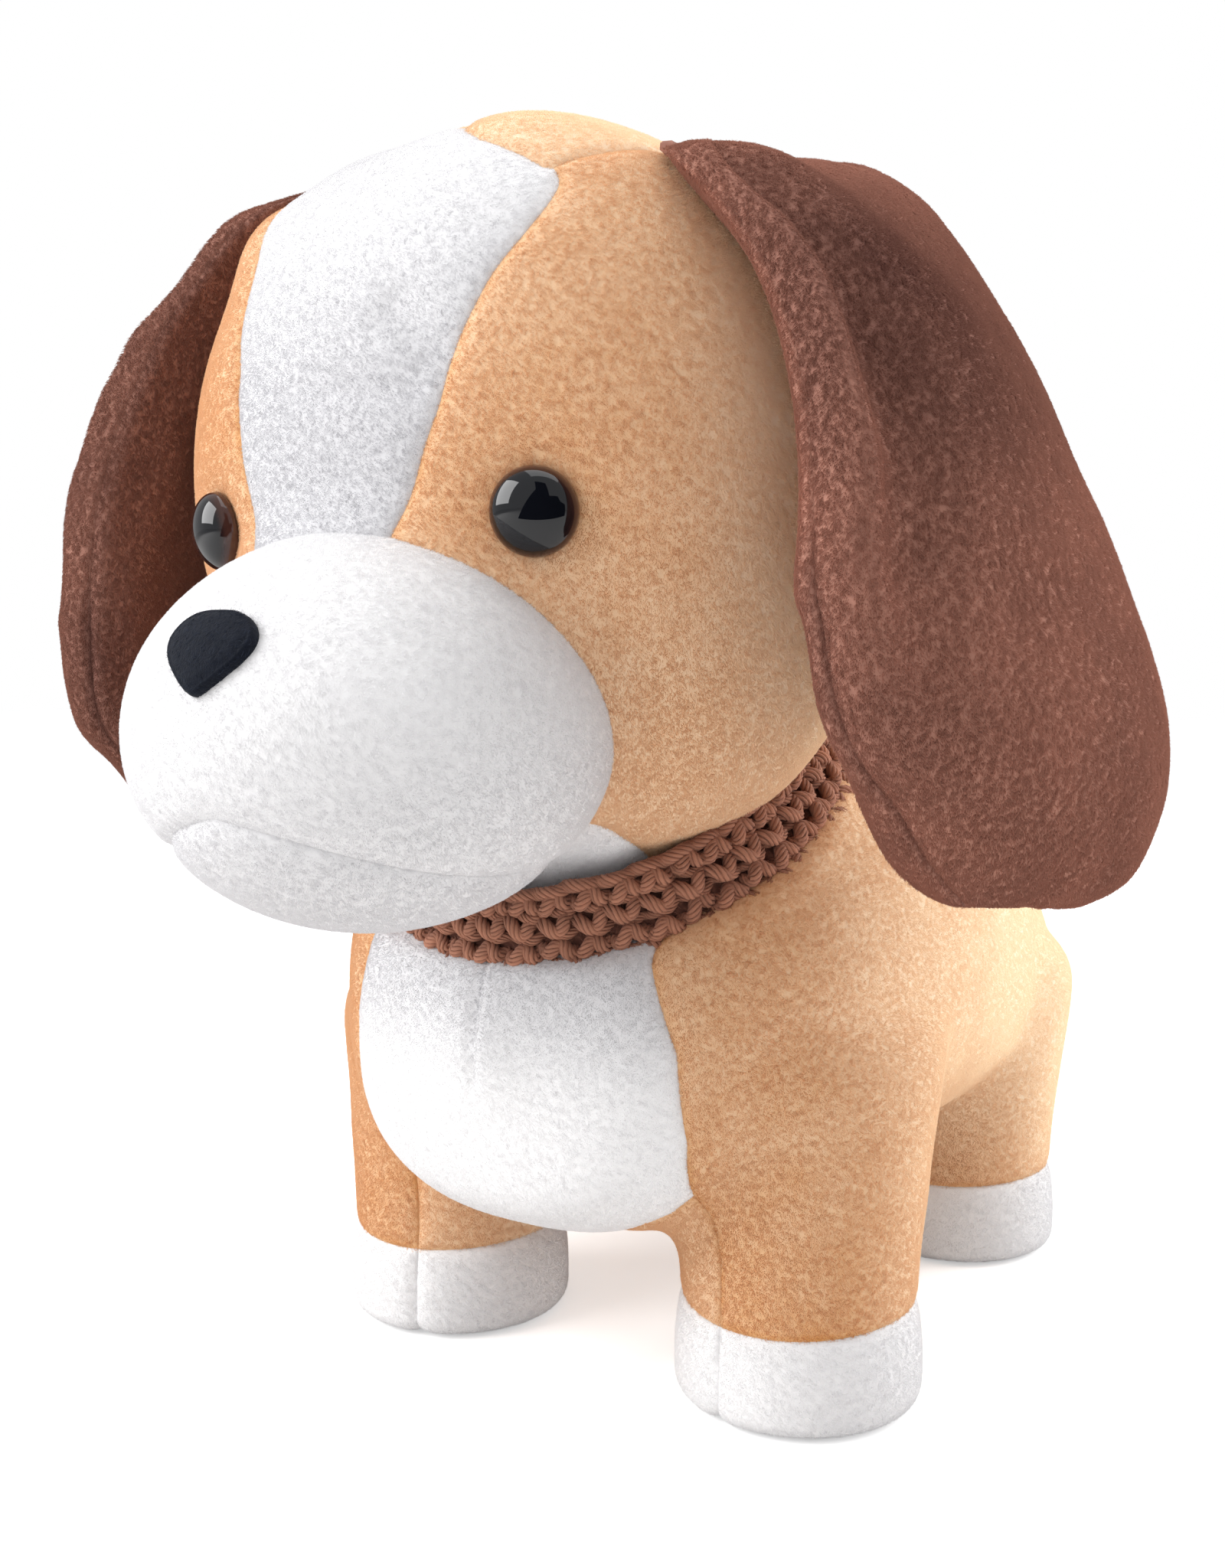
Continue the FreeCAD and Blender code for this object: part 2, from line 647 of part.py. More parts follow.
def paw_halves(name, side, place):
    """The paw cover parted at the seam that runs down the leg."""
    paw = feature("paw_cover_" + name, paw_ring(), place)
    inner_edge, outer_edge = SEAM_SIDE - HALF_GAP, SEAM_SIDE + HALF_GAP
    x0, x1 = (outer_edge, 200) if side > 0 else (-200, -outer_edge)
    spaces = {"inner": box(-inner_edge, inner_edge, -200, 200, -5, 60),
              "outer": box(x0, x1, -200, 200, -5, 60)}
    for half, space in spaces.items():
        tool = feature(f"paw_{half}_space_{name}", space)
        piece(common(f"paw_{name}_{half}", paw, tool))


def sole(name, place):
    body = doc.addObject("PartDesign::Body", "sole_" + name)
    sketch = sketch_on(body, f"sole_{name}_outline", "XY_Plane")
    radius = dim("sole_rad")
    circle = sketch.addGeometry(Part.Circle(Vector(0, 0, 0), UP, radius), False)
    join(sketch, circle, 3, -1, 1)
    drive(sketch, Sketcher.Constraint("Radius", circle, radius), "Sizes.sole_rad")
    pad = body.newObject("PartDesign::Pad", f"sole_{name}_pad")
    pad.Profile = sketch
    pad.setExpression("Length", "Sizes.fabric")
    body.Placement = place
    return body


for name, side, end in LEGS:
    foot_place = Placement(leg_foot(side, end), Rotation())
    paw_halves(name, side, foot_place)
    piece(sole(name, foot_place))

# ---- ears: an outer and an inner layer, each a bowed leaf, with thin wadding between
# Left ear from the top down: front edge (x, y, z), back edge (x, y, z), bow, half thickness
EAR = [
    ((40.0, -43.5, 234.2), (42.0, -13.0, 236.5), 2.0, 2.6),
    ((46.0, -53.0, 229.0), (50.0, -6.0, 240.0), 5.0, 3.4),
    ((56.0, -62.0, 217.5), (63.0, 2.0, 233.0), 7.5, 4.2),
    ((65.0, -65.5, 204.0), (77.0, 7.0, 213.5), 9.0, 4.6),
    ((71.5, -68.0, 189.0), (88.0, 10.5, 191.0), 9.5, 5.0),
    ((75.0, -71.0, 170.0), (97.5, 12.0, 170.0), 9.0, 5.0),
    ((77.0, -72.0, 151.0), (105.0, 12.0, 150.0), 8.5, 5.0),
    ((79.5, -69.0, 134.0), (108.8, 10.5, 132.0), 8.0, 5.0),
    ((83.0, -60.0, 121.0), (108.5, 5.0, 117.0), 6.5, 4.6),
    ((87.0, -45.0, 110.0), (104.0, -7.0, 107.5), 3.5, 3.8),
    ((90.0, -33.0, 105.5), (98.5, -17.0, 104.6), 1.0, 2.6)]
# The table's half thicknesses and bows hold for these values of ear_thick and ear_bulge
THICK_SCALE = dim("ear_thick") / 5.0
BOW_SCALE = dim("ear_bulge") / 9.0
EDGE_THICKNESS = 0.3  # the ear's thickness at its edges, as a part of the middle's
# Points across a row, as parts of the way from the front edge to the back edge
COVER_STEPS = [0, 0.1, 0.26, 0.5, 0.74, 0.9, 1.0]
WADDING_STEPS = [0.08, 0.2, 0.35, 0.5, 0.65, 0.8, 0.92]
# Layer: inner and outer face in half thicknesses from the middle surface, rows, steps
EAR_LAYERS = {
    "outer": (0.34, 1.0, EAR, COVER_STEPS),
    "wadding": (-0.2, 0.2, EAR[1:-1], WADDING_STEPS),
    "inner": (-1.0, -0.34, EAR, COVER_STEPS)}


def ear_layer(side, inner, outer, rows, steps):
    """A closed leaf between two offsets of the ear's middle surface."""
    sections = []
    for (x0, y0, z0), (x1, y1, z1), bow, half_thick in rows:
        front = shifted(side * x0, y0, z0)
        chord = shifted(side * x1, y1, z1) - front
        along = Vector(chord).normalize()
        outward = UP.cross(along).normalize()
        if outward.x * side < 0:
            outward = outward * -1

        def face_points(offset):
            points = []
            for step in steps:
                arch = math.sin(math.pi * step)
                swell = EDGE_THICKNESS + (1 - EDGE_THICKNESS) * math.sqrt(max(0.0, arch))
                rise = bow * BOW_SCALE * arch + offset * half_thick * THICK_SCALE * swell
                points.append(front + along * (step * chord.Length) + outward * rise)
            return points

        there = face_points(outer)
        back = face_points(inner)[::-1]
        sections.append(Part.Wire([
            spline(there), Part.makeLine(there[-1], back[0]),
            spline(back), Part.makeLine(back[-1], there[0])]))
    return Part.makeLoft(sections, True, False)


for word, side in SIDES:
    for layer, shape_values in EAR_LAYERS.items():
        piece(feature(f"ear_{word}_{layer}", ear_layer(side, *shape_values)))

# ---- tail: a turned cover with its filling, round at the base
TAIL_LEAN = math.radians(dim("tail_lean"))
TAIL_AXIS = Vector(0, math.sin(TAIL_LEAN), math.cos(TAIL_LEAN))
TAIL = Placement(
    shifted(0, dim("tail_base_y"), dim("tail_base_z")) + TAIL_AXIS * dim("tail_start"),
    Rotation(UP, TAIL_AXIS))


def tail_form(inset):
    """The tail along Z, drawn in by inset from the cover's outer face."""
    radius = dim("tail_rad") - inset
    tip = dim("tail_length") - dim("tail_start") - 2 * inset
    base = Vector(0, 0, -radius + dim("tail_blunt"))
    end = Vector(0, 0, tip)
    profile = spline([
        base,
        Vector(radius * 0.72, 0, -radius * 0.55),
        Vector(radius * 0.95, 0, 2),
        Vector(radius, 0, tip * 0.45),
        Vector(radius * 0.72, 0, tip * 0.82),
        end])
    return turned_face(Part.Wire([profile, Part.makeLine(end, base)]))


tail_out = feature("tail_form", tail_form(0.0), TAIL)
tail_in = feature("tail_form_inside", tail_form(FABRIC), TAIL)
paired_panels("tail_cover", cut("tail_shell", tail_out, tail_in))
piece(feature("tail_filling", tail_form(FABRIC + dim("tail_fill_gap")), TAIL))

# ---- check and write
doc.recompute()
for obj in doc.Objects:
    bad = [state for state in obj.State if state in ("Invalid", "Error")]
    if bad:
        raise RuntimeError(f"{obj.Label} is {bad}")

os.makedirs("parts", exist_ok=True)
# pieces of an earlier run don't stay behind
for old in os.listdir("parts"):
    if old.endswith(".step"):
        os.remove(os.path.join("parts", old))

for obj in PIECES:
    shape = obj.Shape
    if shape.isNull() or not shape.isValid() or not shape.Solids or shape.Volume <= 0:
        raise RuntimeError(f"bad shape: {obj.Label}")
    shape.exportStep(f"parts/{obj.Label}.step")
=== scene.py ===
# A stuffed toy dog: sewn panels of short pile cloth, hanging padded ears, a crocheted collar,
# plastic eyes and a felt nose. It stands on the ground facing -y, with its left side at +x.
# Sizes are millimetres in a frame whose origin is on the ground between the front feet;
# to_frame() moves points to the row frame in metres.
import json
import math
import bpy
import numpy as np
from mathutils import Matrix, Vector
from mathutils.kdtree import KDTree


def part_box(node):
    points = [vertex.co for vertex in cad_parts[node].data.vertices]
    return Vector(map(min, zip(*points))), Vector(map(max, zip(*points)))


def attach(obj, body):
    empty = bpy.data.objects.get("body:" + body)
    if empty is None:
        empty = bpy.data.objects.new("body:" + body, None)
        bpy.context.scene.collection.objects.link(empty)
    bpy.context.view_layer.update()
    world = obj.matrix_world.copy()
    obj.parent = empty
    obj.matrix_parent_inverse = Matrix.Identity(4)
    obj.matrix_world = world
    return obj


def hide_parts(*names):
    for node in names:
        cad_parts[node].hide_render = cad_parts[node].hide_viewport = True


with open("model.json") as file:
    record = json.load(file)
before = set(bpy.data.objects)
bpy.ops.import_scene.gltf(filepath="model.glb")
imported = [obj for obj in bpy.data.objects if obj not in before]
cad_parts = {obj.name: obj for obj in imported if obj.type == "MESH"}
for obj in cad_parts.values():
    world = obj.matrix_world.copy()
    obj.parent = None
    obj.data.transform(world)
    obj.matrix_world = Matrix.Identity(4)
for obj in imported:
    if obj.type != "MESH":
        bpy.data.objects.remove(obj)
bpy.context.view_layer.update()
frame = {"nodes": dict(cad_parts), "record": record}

STEP = 1.4   # grid pitch of the meshed forms
PANEL_THICK = 1.7
EAR_THICK = 1.3

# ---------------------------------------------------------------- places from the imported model
sole_low, sole_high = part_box("sole_front_left")
FEET_Y = (sole_low[1] + sole_high[1]) * 500.0   # y of the working origin in the row frame
head_turn = next(joint for joint in frame["record"]["behaviour"]["joints"]
                 if joint["name"] == "head_turn")
NECK = np.array(head_turn["pos_m"]) * 1000.0 - (0, FEET_Y, 0)
NECK_AXIS = np.array(head_turn["axis"], float)
NECK_AXIS = NECK_AXIS / np.linalg.norm(NECK_AXIS)


def to_frame(points):
    """Working millimetres to row-frame metres."""
    return (np.asarray(points, float) + np.array((0.0, FEET_Y, 0.0))) / 1000.0


# ---------------------------------------------------------------- number tools
CORNERS = [(a, b, c) for a in (0, 1) for b in (0, 1) for c in (0, 1)]   # of a grid cell


def ramp(x, start, over):
    """Smooth 0..1 rise from start across a length; a negative length runs downwards."""
    x = np.clip((x - start) / over, 0.0, 1.0)
    return x * x * (3 - 2 * x)


def smooth_min(first, second, blend):
    part = np.clip(0.5 + 0.5 * (second - first) / blend, 0, 1)
    return second * (1 - part) + first * part - blend * part * (1 - part)


def smooth_max(first, second, blend):
    return -smooth_min(-first, -second, blend)


def unit(vectors):
    return vectors / np.maximum(np.linalg.norm(vectors, axis=-1, keepdims=True), 1e-12)


def tangent(normals, directions):
    """Directions laid flat against the surface, unit length."""
    return unit(directions - (directions * normals).sum(1)[:, None] * normals)


def along_and_out(points, origin, axis):
    """Distance of each point along an axis, and away from it."""
    offset = points - origin
    along = offset @ axis
    return along, np.linalg.norm(offset - along[:, None] * axis, axis=1)


def neck_coords(points):
    return along_and_out(points, NECK, NECK_AXIS)


def away_from_neck(points):
    """Unit directions straight out from the neck's axis."""
    offset = points - NECK
    return unit(offset - (offset @ NECK_AXIS)[:, None] * NECK_AXIS)


def segment_gap(points, start, end):
    """Distance of each point from a straight segment."""
    start, end = np.array(start), np.array(end)
    run = end - start
    part = np.clip(((points - start) @ run) / (run @ run), 0, 1)
    return np.linalg.norm(points - start - part[:, None] * run, axis=1)


def furrow(gap, *grooves):
    """Sum of bell-shaped grooves, each (depth, width), at a distance from their middle."""
    return sum(depth * np.exp(-(gap / width) ** 2) for depth, width in grooves)


def blob(points, centre, spread):
    """A round bell, 1 at its centre; spread is its width squared."""
    return np.exp(-((points - centre) ** 2).sum(1) / spread)


def lattice(cell, seed):
    """A fixed pseudo-random value, -1..1, for each lattice cell."""
    mixed = (cell[..., 0] * 73856093) ^ (cell[..., 1] * 19349663) ^ (cell[..., 2] * 83492791)
    mixed = mixed ^ (seed * 2654435761)
    mixed = (mixed ^ (mixed >> 13)) * 1274126177
    mixed = mixed ^ (mixed >> 16)
    return (mixed & 0xFFFFFF).astype(float) / 0xFFFFFF * 2 - 1


def noise(points, scale, seed):
    """Smooth value noise, -1..1, one feature per scale mm."""
    place = np.asarray(points, float) / scale
    cell = np.floor(place).astype(np.int64)
    part = place - cell
    part = part * part * part * (part * (part * 6 - 15) + 10)
    total = 0.0
    for corner in CORNERS:
        wx, wy, wz = (part[..., i] if corner[i] else 1 - part[..., i] for i in range(3))
        total = total + wx * wy * wz * lattice(cell + corner, seed)
    return total


def fbm(points, scale, seed):
    """Three octaves of noise."""
    total, strength, full = 0.0, 1.0, 0.0
    for octave in range(3):
        total = total + strength * noise(points, scale / 2 ** octave, seed + 17 * octave)
        full += strength
        strength *= 0.5
    return total / full


def spline(stations, values, x):
    """Smooth cubic through the stations; values may have columns."""
    stations = np.asarray(stations, float)
    values = np.asarray(values, float)
    flat = values.ndim == 1
    if flat:
        values = values[:, None]
    steps = np.diff(values, axis=0) / np.diff(stations)[:, None]
    slopes = np.zeros_like(values)
    slopes[1:-1] = (steps[:-1] + steps[1:]) / 2
    slopes[0], slopes[-1] = steps[0], steps[-1]
    x = np.clip(np.asarray(x, float), stations[0], stations[-1])
    k = np.clip(np.searchsorted(stations, x, side="right") - 1, 0, len(stations) - 2)
    width = stations[k + 1] - stations[k]
    t = ((x - stations[k]) / width)[..., None]
    width = width[..., None]
    out = ((2 * t ** 3 - 3 * t ** 2 + 1) * values[k]
           + (t ** 3 - 2 * t ** 2 + t) * width * slopes[k]
           + (-2 * t ** 3 + 3 * t ** 2) * values[k + 1]
           + (t ** 3 - t ** 2) * width * slopes[k + 1])
    return out[..., 0] if flat else out


def closed_spline(points, per_span):
    """Smooth closed curve through the points."""
    t = (np.arange(per_span) / per_span)[None, :, None]
    p0, p1, p2, p3 = (np.roll(points, shift, 0)[:, None] for shift in (1, 0, -1, -2))
    curve = 0.5 * ((2 * p1) + (-p0 + p2) * t + (2 * p0 - 5 * p1 + 4 * p2 - p3) * t ** 2
                   + (-p0 + 3 * p1 - 3 * p2 + p3) * t ** 3)
    return curve.reshape(-1, points.shape[1])


def outline_distance(points, outline):
    """Signed distance from 2-D points to a closed outline, negative inside."""
    outline = np.asarray(outline, float)
    nearest = np.full(len(points), 1e18)
    inside = np.zeros(len(points), bool)
    for start, end in zip(outline, np.roll(outline, -1, 0)):
        run = end - start
        t = np.clip(((points - start) @ run) / (run @ run), 0, 1)
        nearest = np.minimum(nearest, ((points - (start + t[:, None] * run)) ** 2).sum(1))
        spans = (start[1] > points[:, 1]) != (end[1] > points[:, 1])
        with np.errstate(divide="ignore", invalid="ignore"):
            cross_x = run[0] * (points[:, 1] - start[1]) / run[1] + start[0]
        inside ^= spans & (points[:, 0] < cross_x)
    nearest = np.sqrt(nearest)
    return np.where(inside, -nearest, nearest)


# ---------------------------------------------------------------- mesh tools
def triangles(quads):
    return np.concatenate([quads[:, [0, 1, 2]], quads[:, [0, 2, 3]]])


def edges_of(faces):
    return np.concatenate([faces[:, [0, 1]], faces[:, [1, 2]], faces[:, [2, 0]]])


def torus_quads(rows, columns, first_axis):
    """Quads of a grid closed both ways; first_axis is the way each quad's first side runs."""
    ids = np.arange(rows * columns).reshape(rows, columns)
    ahead = np.roll(ids, -1, first_axis)
    aside = np.roll(ids, -1, 1 - first_axis)
    opposite = np.roll(ahead, -1, 1 - first_axis)
    return np.stack([ids, ahead, opposite, aside], -1).reshape(-1, 4)


def capped_rings(rings, sides):
    """Triangles over a first point, rings of points, and a last point."""
    faces = []
    last_ring = 1 + (rings - 1) * sides
    for k in range(sides):
        after = (k + 1) % sides
        faces += [(0, 1 + k, 1 + after),
                  (1 + rings * sides, last_ring + after, last_ring + k)]
    for i in range(rings - 1):
        upper, lower = 1 + i * sides, 1 + (i + 1) * sides
        for k in range(sides):
            after = (k + 1) % sides
            faces += [(upper + k, lower + k, lower + after),
                      (upper + k, lower + after, upper + after)]
    return np.array(faces)


def join(parts):
    """Joins (points, faces, point values...) tuples into one such list."""
    starts = np.cumsum([0] + [len(part[0]) for part in parts[:-1]])
    parts = [(part[0], part[1] + start, *part[2:]) for part, start in zip(parts, starts)]
    return [np.concatenate(column) for column in zip(*parts)]


def compact(points, faces, *values):
    """Drops the points that no face uses."""
    used = np.unique(faces)
    new_id = -np.ones(len(points), np.int64)
    new_id[used] = np.arange(len(used))
    return (points[used], new_id[faces]) + tuple(value[used] for value in values)


def normals_of(points, faces):
    corner = points[faces[:, 0]]
    face_normals = np.cross(points[faces[:, 1]] - corner, points[faces[:, 2]] - corner)
    out = np.zeros_like(points)
    for i in range(3):
        np.add.at(out, faces[:, i], face_normals)
    return unit(out)


def relax(points, faces, rounds):
    """Moves each point half way to the middle of its neighbours."""
    edges = edges_of(faces)
    edges = np.concatenate([edges, edges[:, ::-1]])
    degree = np.bincount(edges[:, 0], minlength=len(points)).astype(float)
    for _ in range(rounds):
        sums = [np.bincount(edges[:, 0], weights=points[edges[:, 1], i], minlength=len(points))
                for i in range(3)]
        middle = np.stack(sums, -1) / np.maximum(degree, 1)[:, None]
        points = points + 0.5 * (middle - points)
    return points


def distance_to(targets, points, cap=14.0):
    """Distance from each point to the nearest target, at most cap."""
    tree = KDTree(len(targets))
    for i, target in enumerate(targets):
        tree.insert(target, i)
    tree.balance()
    return np.array([min(tree.find(point)[2], cap) for point in points])


def gradient(form, points, reach=0.35):
    out = np.empty_like(points)
    for i in range(3):
        shift = np.zeros(3)
        shift[i] = reach
        out[:, i] = (form(points + shift) - form(points - shift)) / (2 * reach)
    return out


def onto(form, points, rounds=6, limit=np.inf):
    """Pulls points onto the zero surface of a form."""
    points = np.atleast_2d(np.asarray(points, float))
    for _ in range(rounds):
        slope = gradient(form, points)
        move = form(points) / np.maximum((slope * slope).sum(1), 0.2)
        points = points - np.clip(move, -limit, limit)[:, None] * slope
    return points


def polygonise(form, low, high, step, rounds=3):
    """Closed triangle mesh of a form's zero surface, by surface nets."""
    low, high = np.array(low, float), np.array(high, float)
    count = np.ceil((high - low) / step).astype(int) + 1
    axes = [low[i] + step * np.arange(count[i]) for i in range(3)]
    grid = np.stack(np.meshgrid(*axes, indexing="ij"), -1).reshape(-1, 3)
    block = 400000   # grid points worked out at a time
    field = np.concatenate([form(grid[i:i + block]) for i in range(0, len(grid), block)])
    field = field.reshape(count)
    inside = field < 0

    # cells that the surface passes through
    halves = [slice(0, -1), slice(1, None)]
    some = np.zeros(count - 1, bool)
    every = np.ones(count - 1, bool)
    for a, b, c in CORNERS:
        corner = inside[halves[a], halves[b], halves[c]]
        some |= corner
        every &= corner
    active = some & ~every
    cells = np.argwhere(active)
    ids = -np.ones(active.shape, np.int64)
    ids[active] = np.arange(len(cells))

    # each cell's point is the mean of the crossings on its edges
    total = np.zeros((len(cells), 3))
    crossings = np.zeros(len(cells))
    for start in CORNERS:
        for axis in range(3):
            if start[axis] == 1:
                continue
            run = np.zeros(3, int)
            run[axis] = 1
            value = field[tuple((cells + start).T)]
            other = field[tuple((cells + start + run).T)]
            crossed = (value < 0) != (other < 0)
            t = np.where(crossed, value / np.where(value == other, 1, value - other), 0)
            total += np.where(crossed[:, None], np.array(start, float) + np.outer(t, run), 0)
            crossings += crossed
    points = low + step * (cells + total / crossings[:, None])

    # a quad round every grid edge that changes sign
    quads = []
    for axis in range(3):
        u, v = (i for i in range(3) if i != axis)
        near, far = [slice(1, -1)] * 3, [slice(1, -1)] * 3
        near[axis], far[axis] = halves
        near, far = inside[tuple(near)], inside[tuple(far)]
        changed = near != far
        base = np.argwhere(changed)
        base[:, [u, v]] += 1
        around = []
        for shift_u, shift_v in ((-1, -1), (0, -1), (0, 0), (-1, 0)):
            cell = base.copy()
            cell[:, u] += shift_u
            cell[:, v] += shift_v
            around.append(ids[tuple(cell.T)])
        quad = np.stack(around, -1)
        turn = near[changed] if axis == 1 else ~near[changed]
        quad[turn] = quad[turn][:, ::-1]
        quads.append(quad)
    return onto(form, points, rounds, limit=step), triangles(np.concatenate(quads))


def turned(faces, first):
    """Rotates each triangle so that corner number first comes first."""
    return faces[np.arange(len(faces))[:, None], (first[:, None] + np.arange(3)) % 3]


def split(points, faces, side, snap=0.18):
    """Cuts triangles along side = 0. Returns points, negative faces, positive faces, seam."""
    points, side = points.copy(), side.copy()
    edges = np.unique(np.sort(edges_of(faces), axis=1), axis=0)

    def crossing(pairs):
        start, end = pairs.T
        part = side[start] / (side[start] - side[end])
        return part, points[start] + part[:, None] * (points[end] - points[start])

    # points close to the seam move onto it
    crossed = edges[(side[edges[:, 0]] < 0) != (side[edges[:, 1]] < 0)]
    part, place = crossing(crossed)
    for end, near in ((0, part < snap), (1, part > 1 - snap)):
        moved = crossed[near][:, end]
        points[moved] = place[near]
        side[moved] = 0.0

    sign = np.sign(side).astype(int)
    crossed = edges[sign[edges[:, 0]] * sign[edges[:, 1]] < 0]
    _, place = crossing(crossed)
    base = np.int64(len(points))
    keys = crossed[:, 0] * base + crossed[:, 1]

    def between(i, j):
        """The new point on each edge i-j."""
        return base + np.searchsorted(keys, np.minimum(i, j) * base + np.maximum(i, j))

    least, most = sign[faces].min(1), sign[faces].max(1)
    negative = [faces[most <= 0]]
    positive = [faces[(least >= 0) & (most > 0)]]
    mixed = faces[(least < 0) & (most > 0)]
    touching = (sign[mixed] == 0).any(1)

    # one corner on the seam: two triangles
    trio = mixed[touching]
    trio = turned(trio, (sign[trio] == 0).argmax(1))
    a, b, c = trio.T
    cut = between(b, c)
    one, two = np.stack([a, b, cut], -1), np.stack([a, cut, c], -1)
    low = sign[b] < 0
    negative += [one[low], two[~low]]
    positive += [one[~low], two[low]]

    # one corner alone on its side: a tip and two triangles
    trio = mixed[~touching]
    lone = np.where(sign[trio].sum(1) > 0, -1, 1)
    trio = turned(trio, (sign[trio] == lone[:, None]).argmax(1))
    a, b, c = trio.T
    cut_b, cut_c = between(a, b), between(a, c)
    tip = np.stack([a, cut_b, cut_c], -1)
    rest = [np.stack([cut_b, b, c], -1), np.stack([cut_b, c, cut_c], -1)]
    low = lone < 0
    negative += [tip[low]] + [piece[~low] for piece in rest]
    positive += [tip[~low]] + [piece[low] for piece in rest]

    return (np.concatenate([points, place]), np.concatenate(negative),
            np.concatenate(positive), np.concatenate([points[sign == 0], place]))


def shell(points, faces, normals, thick):
    """A closed panel: the outer face, an inner face below it, and a wall round the border."""
    edges = edges_of(faces)
    key = edges.min(1) * np.int64(10 ** 9) + edges.max(1)
    _, group, uses = np.unique(key, return_inverse=True, return_counts=True)
    start, end = edges[uses[group] == 1].T
    below = len(points)
    walls = [np.stack([end, start, start + below], -1),
             np.stack([end, start + below, end + below], -1)]
    return (np.concatenate([points, points - normals * thick]),
            np.concatenate([faces, faces[:, ::-1] + below] + walls))


# ---------------------------------------------------------------- the toy's forms
# Each form gives a signed distance in mm, negative inside.
HEAD = dict(centre=np.array((0.0, -29.4, 173.2)), radii=np.array((68.9, 56.6, 71.7)),
            tilt=math.radians(18.2))
MUZZLE = dict(centre=np.array((0.0, -77.2, 134.1)), radii=np.array((41.6, 40.0, 33.7)),
              tilt=math.radians(3.9))
NECK_R, NECK_HALF = 37.0, 11.0        # the plug that joins head and body
SHOULDER_R, SHOULDER_HALF = 46.0, 9.0  # the rise under the collar
SHOULDER_DROP = 12.0
BODY_TOP = -3.2                       # top of the body along the neck axis
LEG_R, LEG_TOP = 24.6, 74.0

# leg centres at the ground
LEGS = {"front_left": (42.5, 0.0), "front_right": (-42.5, 0.0),
        "rear_left": (39.1, 99.1), "rear_right": (-39.1, 99.1)}

# trunk sections: y, half width, underside z, top z
TRUNK = np.array([
    (-49.0, 13.0, 58.5, 86.0), (-46.3, 27.0, 46.0, 98.0), (-40.0, 38.5, 38.8, 108.0),
    (-28.0, 50.3, 34.0, 119.0), (-10.0, 60.6, 31.8, 128.0), (15.0, 65.2, 32.0, 133.0),
    (45.0, 66.2, 32.0, 128.0), (75.0, 65.6, 32.0, 118.5), (98.0, 63.6, 33.0, 110.0),
    (114.0, 56.5, 36.5, 101.5), (124.5, 43.5, 43.0, 92.5), (130.5, 23.0, 55.0, 80.0)])
TRUNK_MID = (TRUNK[0, 0] + TRUNK[-1, 0]) / 2
TRUNK_HALF = 92.4                     # half length, rounded ends included
# stations as angles along the length, so that the ends close roundly
TRUNK_TURN = np.concatenate(
    [[0.0], np.arccos(np.clip(-(TRUNK[:, 0] - TRUNK_MID) / TRUNK_HALF, -1, 1)), [math.pi]])
TRUNK_SECTION = np.concatenate([[(0.5, 74.0, 75.0)], TRUNK[:, 1:], [(0.5, 68.0, 69.0)]])
TRUNK_POWER = 2.45                    # how square the sections are


def ellipsoid(points, centre, radii, tilt):
    """An ellipsoid leaning about the x axis."""
    cos, sin = math.cos(tilt), math.sin(tilt)
    local = (points - centre) @ np.array([[1, 0, 0], [0, cos, sin], [0, -sin, cos]]).T
    first = np.sqrt(((local / radii) ** 2).sum(1)) + 1e-9
    second = np.sqrt(((local / (radii * radii)) ** 2).sum(1)) + 1e-9
    return first * (first - 1) / second


def neck_plug(points):
    along, out = neck_coords(points)
    return smooth_max(out - NECK_R, np.abs(along) - NECK_HALF, 4.0)


def head_egg(points):
    return ellipsoid(points, **HEAD)


def muzzle_egg(points):
    return ellipsoid(points, **MUZZLE)


def head_swollen(points):
    """The head, swelling a little where the muzzle is sewn on."""
    near = 1 - np.clip(muzzle_egg(points), 0, 9.0) / 9.0
    out = head_egg(points) - 3.2 * near ** 2
    # pulled up by the root of the right ear, drawn in at the top of the stripe
    out = out - 3.0 * blob(points, (-33.0, -66.0, 221.0), spread=81.0)
    return out + 2.3 * blob(points, (-5.0, -57.0, 239.0), spread=121.0)


def head_form(points):
    return smooth_min(head_swollen(points) + 0.5, neck_plug(points), 4.0)


def trunk_form(points):
    half = TRUNK_HALF - 0.02
    y = np.clip(points[:, 1], TRUNK_MID - half, TRUNK_MID + half)
    turn = np.arccos(-(y - TRUNK_MID) / TRUNK_HALF)
    width, bottom, top = spline(TRUNK_TURN, TRUNK_SECTION, turn).T
    width = np.maximum(width, 0.6)
    height = np.maximum((top - bottom) / 2, 0.6)
    size = ((np.abs(points[:, 0]) / width) ** TRUNK_POWER
            + (np.abs(points[:, 2] - (top + bottom) / 2) / height) ** TRUNK_POWER)
    size = size ** (1 / TRUNK_POWER)
    past_end = np.abs(points[:, 1] - TRUNK_MID) - TRUNK_HALF
    return np.where(past_end > -0.02,
                    np.maximum(past_end, 0) + np.maximum(size - 1, 0),
                    (size - 1) * np.minimum(width, height) * 0.8)


def leg_form(points, name):
    foot_x, foot_y = LEGS[name]
    x, y, z = points.T
    # a slight waist above the foot, widening again towards the body
    radius = LEG_R - ramp(z, 8, 18) * ramp(z, 44, -20) + 1.5 * ramp(z, 30, 40)
    # the upper part of the leg runs a little back
    back = 3.0 if "rear" in name else 2.0
    out = np.hypot(x - foot_x, y - (foot_y + back * ramp(z, 20, 50))) - radius
    out = smooth_max(out, z - LEG_TOP, 10.0)
    return smooth_max(out - 0.4, -z, 4.0)


